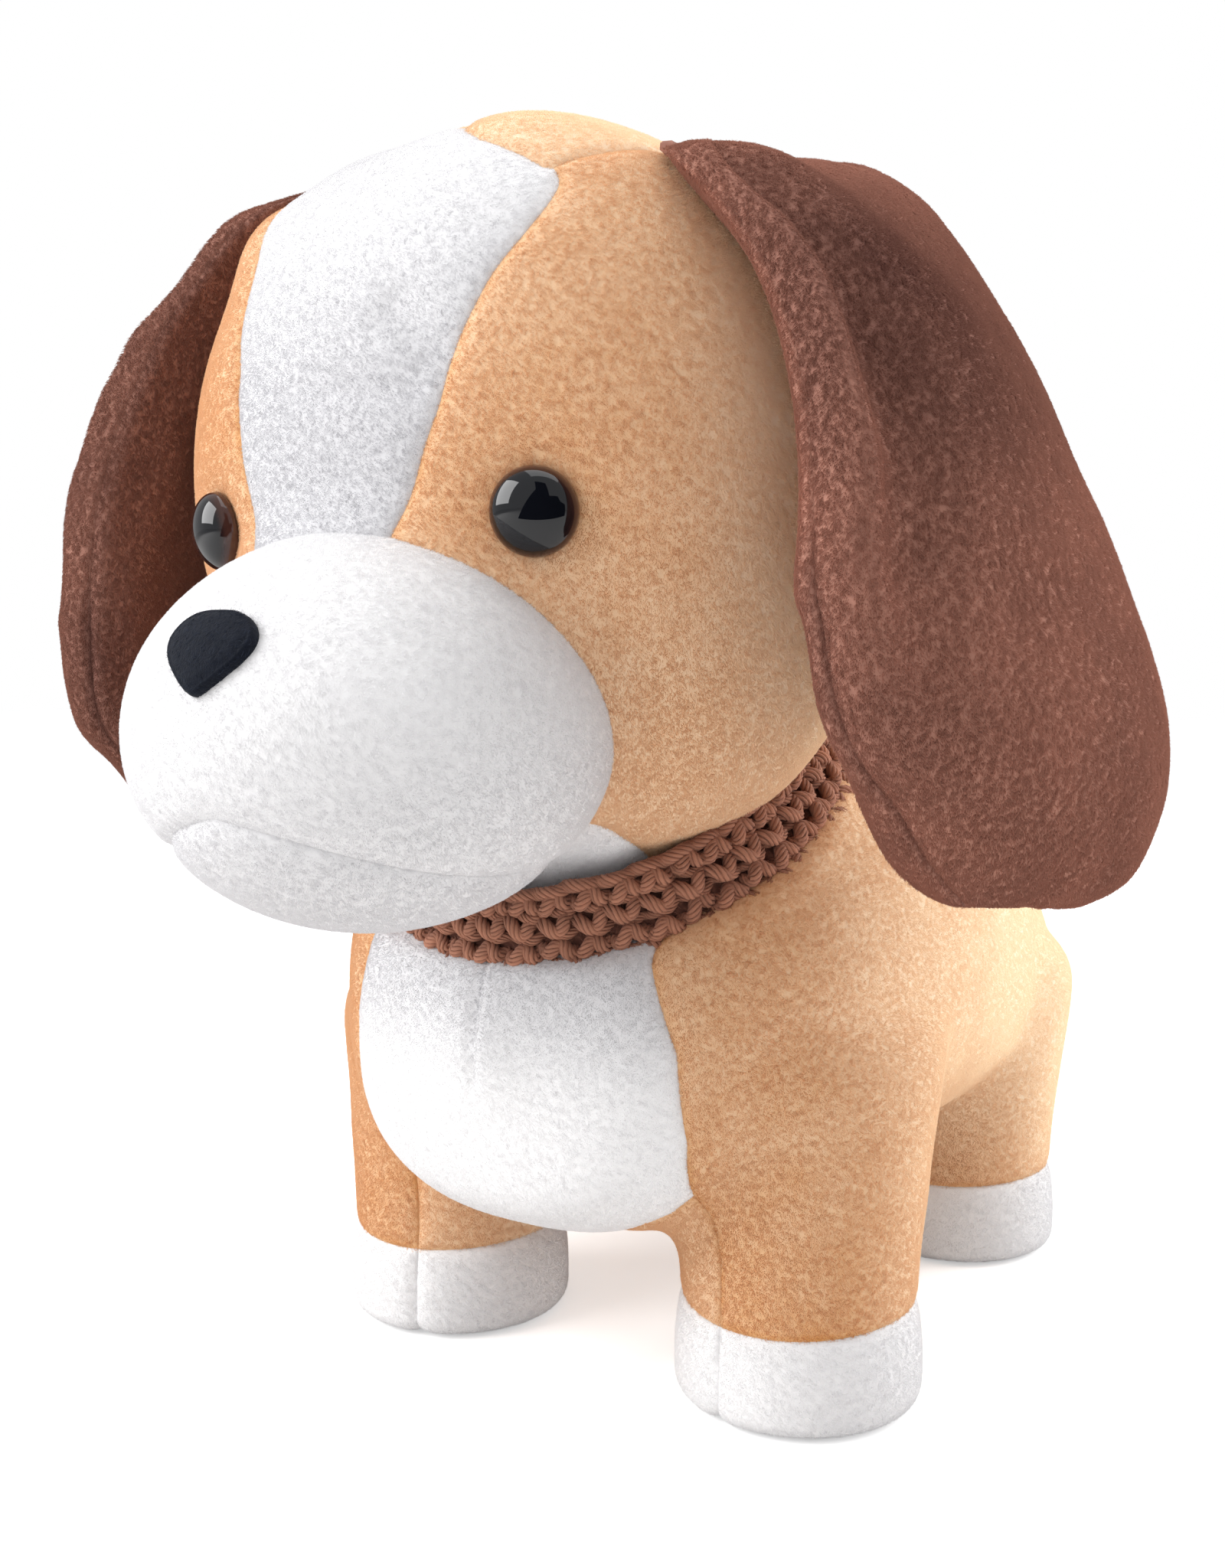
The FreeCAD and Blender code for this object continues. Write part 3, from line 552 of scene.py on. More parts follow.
def body_form(points):
    legs = np.minimum.reduce([leg_form(points, name) for name in LEGS])
    out = smooth_min(trunk_form(points), legs, 8.0) + 0.5
    along, away = neck_coords(points)
    # the shoulders rise to carry the collar
    rise = smooth_max(away - SHOULDER_R, np.abs(along + SHOULDER_DROP) - SHOULDER_HALF, 3.0)
    out = smooth_min(out, rise, 10.0)
    out = smooth_max(out, along - BODY_TOP, 3.0)
    return smooth_min(out, neck_plug(points), 6.0)


# ---------------------------------------------------------------- materials, all from nodes
class Nodes:
    """Short ways to add shader nodes to a tree. Colours are (r, g, b), linear."""

    def __init__(self, tree):
        self.tree = tree

    def node(self, kind, **settings):
        made = self.tree.nodes.new("ShaderNode" + kind)
        for key, value in settings.items():
            setattr(made, key, value)
        return made

    def feed(self, target, value):
        """Links an output to an input, or sets the input's value."""
        if hasattr(value, "is_output"):
            self.tree.links.new(value, target)
        else:
            target.default_value = (*value, 1) if isinstance(value, tuple) else value

    def math(self, operation, first, second, third=0.0, clamp=False):
        made = self.node("Math", operation=operation, use_clamp=clamp)
        for target, value in zip(made.inputs, (first, second, third)):
            self.feed(target, value)
        return made.outputs[0]

    def scaled(self, value, gain, plus, clamp=False):
        return self.math("MULTIPLY_ADD", value, gain, plus, clamp)

    def add(self, first, second, clamp=False):
        return self.math("ADD", first, second, clamp=clamp)

    def mix(self, factor, dark, light):
        made = self.node("Mix", data_type="RGBA")
        for i, value in ((0, factor), (6, dark), (7, light)):
            self.feed(made.inputs[i], value)
        return made.outputs[2]

    def coords(self, stretch=(1.0, 1.0, 1.0)):
        mapping = self.node("Mapping")
        self.feed(mapping.inputs[0], self.node("TexCoord").outputs["Object"])
        mapping.inputs["Scale"].default_value = stretch
        return mapping.outputs[0]

    def noise(self, coords, scale, detail=3.0, rough=0.6, warp=0.0):
        made = self.node("TexNoise")
        for key, value in (("Vector", coords), ("Scale", scale), ("Detail", detail),
                           ("Roughness", rough), ("Distortion", warp)):
            self.feed(made.inputs[key], value)
        return made.outputs[0]

    def attribute(self, name, output="Fac"):
        return self.node("Attribute", attribute_name=name).outputs[output]


class Look(Nodes):
    """A material and its Principled shader."""

    def __init__(self, name):
        self.material = bpy.data.materials.new(name)
        self.material.use_nodes = True
        super().__init__(self.material.node_tree)
        self.shader = self.tree.nodes["Principled BSDF"]
        self.surface = self.tree.nodes["Material Output"].inputs[0]

    def relief(self, height, strength, distance):
        """Bump; the distance is in metres."""
        bump = self.node("Bump")
        for key, value in (("Strength", strength), ("Distance", distance), ("Height", height)):
            self.feed(bump.inputs[key], value)
        self.feed(self.shader.inputs["Normal"], bump.outputs[0])

    def set(self, **inputs):
        """Sets the shader's inputs, named with _ for a space, and returns the material."""
        for key, value in inputs.items():
            self.feed(self.shader.inputs[key.replace("_", " ")], value)
        return self.material


# pile colours at the ends of the painted light and shade: in the nap's shade, in the nap's light
PILE_COLOURS = {
    "tan": ((0.65, 0.300, 0.090), (0.98, 0.83, 0.64)),
    "white": ((0.66, 0.655, 0.675), (0.93, 0.925, 0.93)),
    "brown": ((0.13, 0.055, 0.045), (0.62, 0.310, 0.225)),
}


def pile_cloth(name, dark, light):
    """Short pile cloth: fine grain, tufts, worn lanes in the nap, sheen, and the painted light and
    shade of its panel.
    """
    look = Look(name + "_pile_cloth")
    coords = look.coords()
    fine = look.noise(coords, scale=1100.0, detail=2.0, rough=0.65)
    tuft = look.noise(look.coords((1, 1, 0.62)), scale=420.0, warp=0.4)
    lane = look.noise(coords, scale=70.0, rough=0.55, warp=0.3)
    shade = look.scaled(fine, gain=0.20, plus=-0.10)
    shade = look.scaled(tuft, gain=0.22, plus=shade)
    shade = look.scaled(lane, gain=0.15, plus=shade)
    shade = look.add(shade, -0.185)   # brings the noises' mean back to nothing
    # the shade attribute adds the panel's painted light and shade
    shade = look.add(shade, look.attribute("shade"), clamp=True)
    grain = look.math("MULTIPLY", fine, 0.4)
    look.relief(look.scaled(tuft, gain=0.8, plus=grain), strength=0.3, distance=0.0005)
    return look.set(Base_Color=look.mix(shade, dark, light), Roughness=0.95,
                    Specular_IOR_Level=0.2, Sheen_Weight=0.35, Sheen_Roughness=0.45,
                    Sheen_Tint=tuple(min(1.0, part * 1.25) for part in light))


def fibre(name, dark, light, through=0.5):
    """Matt fibre with painted light towards its tip and painted shade at its root, that lets some
    light through.
    """
    look = Look(name)
    tip = look.node("HairInfo").outputs["Intercept"]
    shade = look.add(look.attribute("tint"), look.scaled(tip, gain=0.16, plus=-0.06), clamp=True)
    colour = look.mix(shade, dark, light)
    look.set(Base_Color=colour, Roughness=1.0, Specular_IOR_Level=0.0)
    glow = look.node("BsdfTranslucent")
    look.feed(glow.inputs[0], colour)
    blend = look.node("MixShader")
    look.feed(blend.inputs[0], through)
    look.feed(blend.inputs[1], look.shader.outputs[0])
    look.feed(blend.inputs[2], glow.outputs[0])
    look.feed(look.surface, blend.outputs[0])
    return look.material


def yarn():
    """Plied cotton yarn: streaks run along the ply, with painted shade in the cracks between
    plies.
    """
    look = Look("yarn")
    streak = look.noise(look.attribute("ply", "Vector"), scale=1.0, detail=4.0, rough=0.65,
                        warp=0.6)
    blot = look.noise(look.coords(), scale=180.0, detail=2.0)
    shade = look.scaled(streak, gain=0.85, plus=-0.42)
    shade = look.scaled(blot, gain=0.35, plus=shade)
    # the shade attribute adds painted light and shade
    shade = look.add(shade, look.attribute("shade"))
    shade = look.add(shade, -0.2, clamp=True)
    look.relief(streak, strength=0.6, distance=0.0002)
    return look.set(Base_Color=look.mix(shade, (0.090, 0.027, 0.015), (0.58, 0.255, 0.155)),
                    Roughness=0.85, Sheen_Weight=0.25, Sheen_Tint=(0.8, 0.5, 0.4))


def felt():
    """Near-black felt of matted fibres."""
    look = Look("felt")
    fine = look.noise(look.coords(), scale=1500.0, detail=4.0, rough=0.7, warp=1.2)
    long = look.noise(look.coords((1, 0.4, 1)), scale=700.0, rough=0.7, warp=1.5)
    shade = look.scaled(long, gain=0.9, plus=-0.72)
    shade = look.scaled(fine, gain=0.8, plus=shade, clamp=True)
    look.relief(look.add(fine, long), strength=0.8, distance=0.0003)
    return look.set(Base_Color=look.mix(shade, (0.0045, 0.0065, 0.013), (0.013, 0.018, 0.034)),
                    Roughness=0.9, Specular_IOR_Level=0.15, Sheen_Weight=0.06)


def eye_plastic():
    """Glossy black plastic, brown at the rim."""
    look = Look("eye_plastic")
    colour = look.mix(look.attribute("shade"), (0.0035, 0.004, 0.006), (0.060, 0.024, 0.018))
    wear = look.noise(look.coords(), scale=600.0, detail=2.0)
    return look.set(Base_Color=colour, Roughness=look.scaled(wear, gain=0.04, plus=0.015),
                    Specular_IOR_Level=0.42, Coat_Weight=0.25, Coat_Roughness=0.02)


def washer_plastic():
    """Milky white moulded plastic."""
    look = Look("washer_plastic")
    coords = look.coords()
    cloud = look.noise(coords, scale=350.0, detail=2.0)
    look.relief(look.noise(coords, scale=1400.0, detail=2.0), strength=0.15, distance=0.0002)
    return look.set(Base_Color=look.mix(cloud, (0.62, 0.62, 0.60), (0.80, 0.80, 0.78)),
                    Roughness=look.scaled(cloud, gain=0.15, plus=0.35), Subsurface_Weight=0.1)


def stuffing():
    """White fibre filling."""
    look = Look("stuffing")
    coords = look.coords()
    lumps = look.noise(coords, scale=260.0, detail=5.0, rough=0.7, warp=2.0)
    wisps = look.noise(coords, scale=1200.0, rough=0.7, warp=1.0)
    shade = look.math("MULTIPLY", lumps, 0.7)
    shade = look.scaled(wisps, gain=0.4, plus=shade, clamp=True)
    look.relief(shade, strength=0.9, distance=0.001)
    return look.set(Base_Color=look.mix(shade, (0.70, 0.70, 0.70), (0.95, 0.95, 0.94)),
                    Roughness=0.95, Sheen_Weight=0.4)


def thread():
    """Twisted sewing thread."""
    look = Look("thread")
    twist = look.node("TexWave", wave_type="BANDS", bands_direction="DIAGONAL")
    for key, value in (("Vector", look.coords()), ("Scale", 900.0), ("Distortion", 1.5)):
        look.feed(twist.inputs[key], value)
    look.relief(twist.outputs[1], strength=0.5, distance=0.0002)
    colour = look.mix(twist.outputs[1], (0.45, 0.27, 0.12), (0.80, 0.58, 0.34))
    return look.set(Base_Color=colour, Roughness=0.7)


MATERIALS = {name: pile_cloth(name, *pair) for name, pair in PILE_COLOURS.items()}
PILE_FIBRE = {name: fibre(name + "_pile", *pair) for name, pair in PILE_COLOURS.items()}
MATERIALS.update(yarn=yarn(), felt=felt(), eye=eye_plastic(), plastic=washer_plastic(),
                 fill=stuffing(), thread=thread())


# ---------------------------------------------------------------- objects
def link_object(name, data):
    made = bpy.data.objects.new(name, data)
    bpy.context.scene.collection.objects.link(made)
    return made


def add_piece(name, points, faces, material, body, slot, node=None, **attributes):
    """A smooth mesh that rides on a body and may stand in for one of the model's nodes."""
    mesh = bpy.data.meshes.new(name)
    mesh.vertices.add(len(points))
    mesh.vertices.foreach_set("co", to_frame(points).astype(np.float32).ravel())
    size = faces.shape[1]
    loops = len(faces) * size
    mesh.loops.add(loops)
    mesh.loops.foreach_set("vertex_index", faces.astype(np.int32).ravel())
    mesh.polygons.add(len(faces))
    mesh.polygons.foreach_set("loop_start", np.arange(0, loops, size, dtype=np.int32))
    mesh.polygons.foreach_set("loop_total", np.full(len(faces), size, dtype=np.int32))
    mesh.update(calc_edges=True)
    for key, values in attributes.items():
        values = np.asarray(values, np.float32)
        kind, field = ("FLOAT", "value") if values.ndim == 1 else ("FLOAT_VECTOR", "vector")
        mesh.attributes.new(key, kind, "POINT").data.foreach_set(field, values.ravel())
    mesh.validate()
    mesh.polygons.foreach_set("use_smooth", np.ones(len(mesh.polygons), bool))
    made = link_object(name, mesh)
    mesh.materials.append(MATERIALS[material])
    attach(made, body)
    if node:
        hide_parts(node)


def set_material(node, material):
    """Gives one of the model's own nodes a new material."""
    materials = frame["nodes"][node].data.materials
    materials.clear()
    materials.append(MATERIALS[material])


# ---------------------------------------------------------------- panels
def painted_light_and_tone(name, cloth, points, normals, gap):
    """Painted light and shade at each point, 0..1, as the nap would catch light, over the cloth's
    own random tone.
    """
    x, y, z = points.T
    shade = 0.42 + 0.13 * fbm(points, scale=24.0, seed=3) + 0.07 * fbm(points, scale=7.0, seed=11)
    if cloth == "tan":
        # painted light: lighter where the cloth faces left, back and a little up
        lit = np.array((0.80, 0.55, 0.15))
        shade = shade + 0.32 * ramp(normals @ (lit / np.linalg.norm(lit)), start=0.15, over=0.8)
        # painted light on the back of the head
        if name.startswith("head_back"):
            shade = shade + 0.30
        if name.startswith("body_side"):
            # painted light: lighter upwards and towards the rear
            shade = shade - 0.12 + 0.10 * ramp(z, start=42, over=26)
            shade = shade + 0.32 * ramp(y, start=5, over=60) * ramp(z, start=10, over=30)
        if name.startswith("head_face"):
            # painted shade round the eyes, painted light on the sides and low down
            shade = shade - 0.13 * blob(np.abs(points), (28.0, 84.0, 180.0), spread=280.0)
            shade = shade + 0.14 * ramp(np.abs(x), start=50, over=10)
            shade = shade + 0.05 + 0.08 * ramp(z, start=128, over=-24)
    elif cloth == "white":
        shade = 0.58 + 0.5 * (shade - 0.42)   # evener than the tan
        if "stripe" in name:
            # painted shade, deeper towards the bottom of the stripe
            shade = shade - 0.20 - 0.30 * ramp(z, start=222, over=-40)
        elif "chin" in name:
            # painted shade under the chin
            shade = shade - 0.35
        elif "muzzle" in name:
            # painted shade low on the muzzle
            shade = shade + 0.05 - 0.22 * ramp(z, start=140, over=-20)
        elif "chest" in name:
            # painted shadow of the muzzle high on the chest
            shade = shade + 0.25 - 0.90 * ramp(z, start=64, over=24)
        elif "paw" in name:
            # painted shade where the paw faces +x and down
            facing = np.clip(normals @ np.array((0.93, 0.0, -0.37)), 0, 1)
            shade = shade + 0.25 - 0.45 * facing
        shade = 0.25 + 0.704 * shade
        if "stripe" in name:
            # more painted shade towards the bottom of the stripe
            shade = shade - 0.30 * ramp(z, start=226, over=-40)
    else:
        shade = 0.13 + 0.867 * (shade - 0.01 + 0.04 * fbm(points, scale=12.0, seed=5))
        if "right" in name:
            # painted shade: the right ear darker, most on its inner side
            shade = shade - (0.22 if "inner" in name else 0.14)
        if "left_outer" in name:
            # painted shade high on the flap, painted highlight along the ridge of the fold
            high = (points - (84.0, -48.0, 200.0)) / (30.0, 34.0, 30.0)
            shade = shade - 0.34 * np.exp(-(high ** 2).sum(1))
            ridge = segment_gap(points, (84.5, -84.0, 178.0), (91.5, -82.0, 143.0))
            shade = shade + furrow(ridge, (0.42, 5.0))
    # painted shade in the seams
    return shade - furrow(gap, (0.12 if cloth == "white" else 0.20, 1.1))


PANELS = {}   # name: (cloth, body, (points, faces, normals, distance to a seam, shade))


class Skin:
    """A surface that is cut into panels and drawn in along its seams."""

    def __init__(self, points):
        self.points = points
        self.seams = []

    def cut(self, faces, side, sewn=True):
        """Cuts faces where side = 0 and returns the negative and the positive ones."""
        self.points, negative, positive, seam = split(self.points, faces, side)
        if sewn:
            self.seams.append(seam)
        return negative, positive

    def close(self, parts):
        """Once all is cut: the whole skin's normals and each point's distance to a seam."""
        self.faces = np.concatenate(list(parts))
        self.gap = distance_to(np.concatenate(self.seams), self.points)
        self.update_normals()

    def update_normals(self):
        self.normals = normals_of(self.points, self.faces)

    def sink(self, depth):
        self.points = self.points - self.normals * depth[:, None]

    def panel(self, name, faces, cloth, body, node=None, thick=PANEL_THICK):
        """One sewn panel. It stands in for the node of its own name unless another is given."""
        points, faces, normals, gap = compact(self.points, faces, self.normals, self.gap)
        shade = painted_light_and_tone(name, cloth, points, normals, gap)
        PANELS[name] = (cloth, body, (points, faces, normals, gap, shade))
        # the inner face's shade value is 0.2 lower, so it is darker
        add_piece(name + "_cover", *shell(points, faces, normals, thick), cloth, body,
                  cloth + "_plush", node or name, shade=np.concatenate([shade, shade - 0.2]))


def skin_of(form, low, high):
    points, faces = polygonise(form, low, high, STEP)
    return Skin(onto(form, relax(points, faces, 2), 2)), faces


# ---------------------------------------------------------------- head
# the seam from ear to ear over the head, x and y from above
EAR_SEAM = [(-90, 9), (-50, -20), (-38, -41), (-33, -53), (-28.5, -59), (-20, -55.5),
            (-12, -52.5), (-5, -50.5), (1, -51.5), (4.5, -57), (9, -62.6), (13.8, -65.3),
            (20, -66.2), (28.5, -66.7), (33, -58), (38, -43), (50, -20), (90, 9)]
THROAT = [(-27, -90), (27, -90), (27, -24), (-27, -24)]   # x and y from below
THROAT_TOP = 124
# forehead stripe: z, half width on the left (+x), half width on the right
STRIPE = np.array([
    (140, 10.5, 17), (160, 11.2, 19), (165, 12.4, 20.4), (172.5, 15.2, 22.3),
    (179, 17.6, 23.8), (185, 20.0, 24.6), (193, 21.8, 26.0), (199, 24.0, 27.2),
    (205.6, 26.4, 28.0), (213, 29.8, 28.6), (218, 31.2, 29.4), (221.5, 31.0, 29.8),
    (224.5, 28.8, 29.9), (226.8, 25.5, 29.5), (229, 21.5, 28.5), (260, 20, 28)], float)
# where the stuffing gives: ends of each fold, depth, width
FOLDS = [((12.0, -84.8, 200.5), (18.5, -84.4, 194.0), 1.3, 4.2),
         ((-6.0, -87.2, 189.0), (15.0, -86.2, 187.4), 0.7, 3.0),
         ((-24.0, -82.0, 196.0), (-12.0, -86.5, 190.0), 0.6, 4.0)]
EYE_PLACES = onto(head_egg, [(34.3, -79.5, 168.1), (-34.3, -79.5, 168.1)])
EYE_NORMALS = unit(gradient(head_egg, EYE_PLACES))
SEWN_IN = 1.3   # how deep the head and muzzle reach into each other


def build_head():
    skin, faces = skin_of(head_form, (-74, -96, 98), (74, 34, 250))
    faces, _ = skin.cut(faces, -neck_coords(skin.points)[0], sewn=False)
    _, faces = skin.cut(faces, muzzle_egg(skin.points) + SEWN_IN, sewn=False)
    parts = {}
    side = outline_distance(skin.points[:, [0, 1]], THROAT)
    side = np.maximum(side, skin.points[:, 2] - THROAT_TOP)
    parts["throat_panel"], faces = skin.cut(faces, side)
    side = outline_distance(skin.points[:, [0, 1]], EAR_SEAM + [(90, -200), (-90, -200)])
    # below the ear the seam runs straight down behind the cheek
    _, y, z = skin.points.T
    side = np.minimum(side, np.maximum(z - 165.0, y + 8.0))
    front, back = skin.cut(faces, side)
    x, _, z = skin.points.T
    left, right = spline(STRIPE[:, 0], STRIPE[:, 1:], z).T
    parts["forehead_stripe"], front = skin.cut(front, np.maximum(x - left, -x - right))
    parts["head_face_right"], parts["head_face_left"] = skin.cut(
        front, skin.points[:, 0], sewn=False)
    parts["head_back_right"], parts["head_back_left"] = skin.cut(back, skin.points[:, 0])
    skin.close(parts.values())
    skin.sink(furrow(skin.gap, (0.55, 1.2), (0.35, 4.0)))
    for start, end, depth, width in FOLDS:
        skin.sink(furrow(segment_gap(skin.points, start, end), (depth, width)))
    for place in EYE_PLACES:   # soft sockets
        skin.sink(furrow(np.linalg.norm(skin.points - place, axis=1), (1.5, 9.5)))
    skin.update_normals()
    for name in ("throat_panel", "forehead_stripe", "head_face_left", "head_face_right",
                 "head_back_left", "head_back_right"):
        cloth = "tan" if name.startswith("head") else "white"
        skin.panel(name, parts[name], cloth, "head")


def build_muzzle():
    points, faces = polygonise(lambda p: muzzle_egg(p) + 0.4, (-46, -122, 95), (46, -30, 172),
                               STEP * 0.9)
    skin = Skin(points)
    _, faces = skin.cut(faces, head_swollen(points) + SEWN_IN, sewn=False)
    # the mouth seam drops away to the sides
    x, _, z = skin.points.T
    chin, top = skin.cut(faces, z - (121.6 - 0.17 * np.abs(x) - 0.0062 * x ** 2))
    skin.close([chin, top])
    skin.sink(furrow(skin.gap, (0.8, 1.5), (0.55, 4.5)))
    skin.update_normals()
    skin.panel("muzzle_top", top, "white", "head")
    skin.panel("chin", chin, "white", "head", node="chin_panel")


# ---------------------------------------------------------------- body
SIDE_X = 36.6    # the seam along the inside of the legs and the belly
CUFF_Z = 20.0    # top of the paws
SOLE_R, SOLE_Z = 19.2, 3.0
BELLY_Z, BELLY_ARCH = 47.0, 16.0
# chest panel, x and z from its lowest point up the left side; the right side mirrors it
CHEST = [(0, 33.0), (13, 34.2), (23, 38), (31.5, 42.5), (36.7, 47), (38.5, 59), (37.5, 76),
         (32.5, 92), (29, 110), (26, 140)]
CHEST = CHEST + [(-x, z) for x, z in reversed(CHEST[1:])]
CHEST_BACK = -8.0
DART_Y, DART_LOW, DART_HIGH = -48.0, 68.7, 92   # the tuck down the middle of the chest


def build_body():
    skin, faces = skin_of(body_form, (-76, -56, -3), (76, 138, 142))
    faces, _ = skin.cut(faces, neck_coords(skin.points)[0], sewn=False)
    parts = {}
    for name, (foot_x, foot_y) in LEGS.items():
        x, y, z = skin.points.T
        out = np.hypot(x - foot_x, y - foot_y)
        cuff = z - (CUFF_Z + 0.6 * np.cos(2 * np.arctan2(y - foot_y, x - foot_x)))
        side = np.maximum(np.where(out < 34, cuff, 5.0), out - 33)
        paw, faces = skin.cut(faces, side)
        x, y, z = skin.points.T
        out = np.hypot(x - foot_x, y - foot_y)
        sole, paw = skin.cut(paw, np.maximum(out - SOLE_R, z - SOLE_Z))
        inner, outer = skin.cut(paw, skin.points[:, 0] * np.sign(foot_x) - SIDE_X)
        parts["sole_" + name] = sole
        parts["paw_%s_inner" % name] = inner
        parts["paw_%s_outer" % name] = outer
    side = outline_distance(skin.points[:, [0, 2]], CHEST)
    side = np.maximum(side, skin.points[:, 1] - CHEST_BACK)
    parts["chest_panel"], faces = skin.cut(faces, side)
    # the belly seam is level in front and arches between the rear legs
    x, y, z = skin.points.T
    arch = BELLY_ARCH * np.sqrt(np.clip(1 - (x / SIDE_X) ** 2, 0, 1))
    side = np.maximum(np.abs(x) - SIDE_X, z - (BELLY_Z + np.where(y > 50, arch, 0.0)))
    parts["underbody_panel"], faces = skin.cut(faces, side)
    parts["body_side_right"], parts["body_side_left"] = skin.cut(faces, skin.points[:, 0])
    skin.close(parts.values())
    dart = [(0.0, DART_Y, z) for z in np.linspace(DART_LOW, DART_HIGH, 40)]
    dart_gap = distance_to(onto(body_form, dart), skin.points)
    skin.sink(furrow(skin.gap, (0.5, 1.2), (0.4, 4.0)) + furrow(dart_gap, (0.9, 1.0)))
    skin.points[:, 2] = np.maximum(skin.points[:, 2], 0.0)
    skin.update_normals()
    for name, part in parts.items():
        cloth = "white" if name.startswith(("paw", "sole", "chest")) else "tan"
        skin.panel(name, part, cloth, "torso")


build_head()
build_muzzle()
build_body()

# ---------------------------------------------------------------- ears
# Each ear is a puffed pad of two layers sewn at the edge. The tables give the left ear.
# front edge x y z, back edge x y z, from the root down to the tip
EAR_EDGES = np.array([
    (38.5, -44, 231.5, 41, -12, 237), (46.6, -57.9, 225.7, 50, -6, 240),
    (54.9, -62.3, 217.4, 60, 0, 234), (61.3, -64.7, 210, 69, 3, 223),
    (65.8, -65.5, 203.1, 77, 6, 210), (70.7, -67.4, 192.7, 84, 8, 197),
    (74, -69.5, 180.7, 90, 9.5, 182.5), (75.6, -71.1, 169.8, 95.5, 11, 170),
    (76.2, -72.6, 156.5, 100.5, 12, 157), (77.1, -72.2, 149.7, 103, 12, 149),
    (78.7, -70.4, 138.4, 106, 11.5, 137), (81, -65.5, 129.4, 106.5, 9.5, 126),
    (83.3, -56.0, 122.4, 106, 5, 117), (85.4, -46.5, 113.2, 104.0, -2, 107),
    (88.6, -36.5, 105.0, 98, -14, 100.8)], float)
# values at stations down the ear, 0 at the root and 1 at the tip
EAR_STATIONS = [0, 0.12, 0.3, 0.55, 0.8, 1.0]
EAR_SHAPE = dict(
    back_x=[4.2, 1.2, -5.6, -6.8, -3.3, 0.6],           # shift of the back edge
    back_z=[-3.72, -6.48, -5.65, -3.86, -0.71, 2.24],
    bow=[-1.77, -1.71, 3.23, 5.54, 6.8, 2.21],          # outward bend between the edges
    puff=[9.4, 9.8, 11.2, 12.0, 9.6, 6.6],              # height of the outer layer
    valley=[3.0, 7.0, 7.5, 5.5, 1.6, 0.0],              # depth of the dip behind the front roll
    lap=[2.5, 4.0, 4.0, 2.5, 0.3, 0.0])                 # how far that roll laps over the seam
INNER_STATIONS = [0, 0.12, 0.3, 0.55, 0.76, 0.86, 1.0]
INNER_PUFF = [4.0, 4.5, 5.5, 6.5, 7.2, 11.5, 12.5]
RIGHT_LIFT = 5.5       # the right ear is sewn on a little higher
WADDING_INSET = 15.0
EAR_PUFF = 0.93   # part of the puff that is there before the cloth swells
CLOTH_LIMIT = 2.0      # furthest the cloth may move


def rounded(gap, width):
    """Quarter-circle rise from an edge, 0..1."""
    return np.sqrt(np.clip(1 - (1 - np.clip(gap / width, 0, 1)) ** 2, 0, 1))


def dome(gaps, widths):
    """Product of the rises from the front, back, tip and root edges."""
    return np.prod([rounded(gap, width) for gap, width in zip(gaps, widths)], axis=0)


def ear_layers(rows, columns, side, outer_of, inner_of):
    """Grids of the middle, outer and inner layers, and each point's distance from the edge."""
    down = np.linspace(0, 1, rows)
    edges = spline(np.linspace(0, 1, len(EAR_EDGES)), EAR_EDGES, down)
    front, back = edges[:, :3].copy(), edges[:, 3:].copy()
    shape = {key: spline(EAR_STATIONS, values, down) for key, values in EAR_SHAPE.items()}
    back[:, 0] += shape["back_x"]
    back[:, 2] += shape["back_z"]
    if side < 0:
        lift = np.exp(-(down / 0.10) ** 2)[:, None] * (0.0, 0.0, RIGHT_LIFT)
        front, back = front + lift, back + lift
    # columns stand closer together at both edges
    across = (0.5 * (1 - np.cos(np.linspace(0, np.pi, columns))) / 2
              + 0.5 * np.linspace(0, 1, columns))
    across = (across / across[-1])[None]
    run = back - front
    length = np.linalg.norm(run, axis=1)
    run = run / length[:, None]
    outward = unit(np.cross((0, 0, 1.0), run))
    outward[outward[:, 0] < 0] *= -1
    run, outward, length = run[:, None], outward[:, None], length[:, None]
    from_front, from_back = across * length, (1 - across) * length
    bend = shape["bow"][:, None] * np.sin(np.pi * across)
    middle = front[:, None] + run * from_front[..., None] + outward * bend[..., None]
    from_tip = np.linalg.norm(middle - middle[-1:], axis=2)
    from_root = np.linalg.norm(middle - middle[:1], axis=2)
    gaps = (from_front, from_back, from_tip, from_root)

    outer_dome = dome(gaps, (7.0, 22.0, 18.0, 9.0))
    outer = shape["puff"][:, None] * outer_dome
    dip = shape["valley"][:, None] * np.exp(-((across - 0.125) / 0.062) ** 2)
    outer = outer - dip * rounded(from_front, 10) * rounded(from_root, 9.0)
    # faint hand-stuffed unevenness
    uneven = fbm(middle.reshape(-1, 3) * (1, 1, 0.7), scale=19.0, seed=21)
    outer = outer + 0.9 * uneven.reshape(outer.shape) * outer_dome
    inner = spline(INNER_STATIONS, INNER_PUFF, down)[:, None] * dome(gaps, (10.0, 12.0, 10.0, 8.0))
    lap = shape["lap"][:, None] * np.sin(np.pi * np.clip(from_front / 15.0, 0, 1))
    lap = (lap * rounded(from_root, 9.0) * rounded(from_tip, 18.0))[..., None] * -run
    mirror = np.array((side, 1.0, 1.0))
    return (middle * mirror,
            (middle + outward * outer_of(outer)[..., None] + lap) * mirror,
            (middle - outward * inner_of(inner)[..., None]) * mirror,
            np.minimum.reduce(gaps))


def grid_quads(ids, flip):
    corners = (ids[:-1, :-1], ids[1:, :-1], ids[1:, 1:], ids[:-1, 1:])
    quads = np.stack([corner.ravel() for corner in corners], -1)
    return quads[:, ::-1] if flip else quads


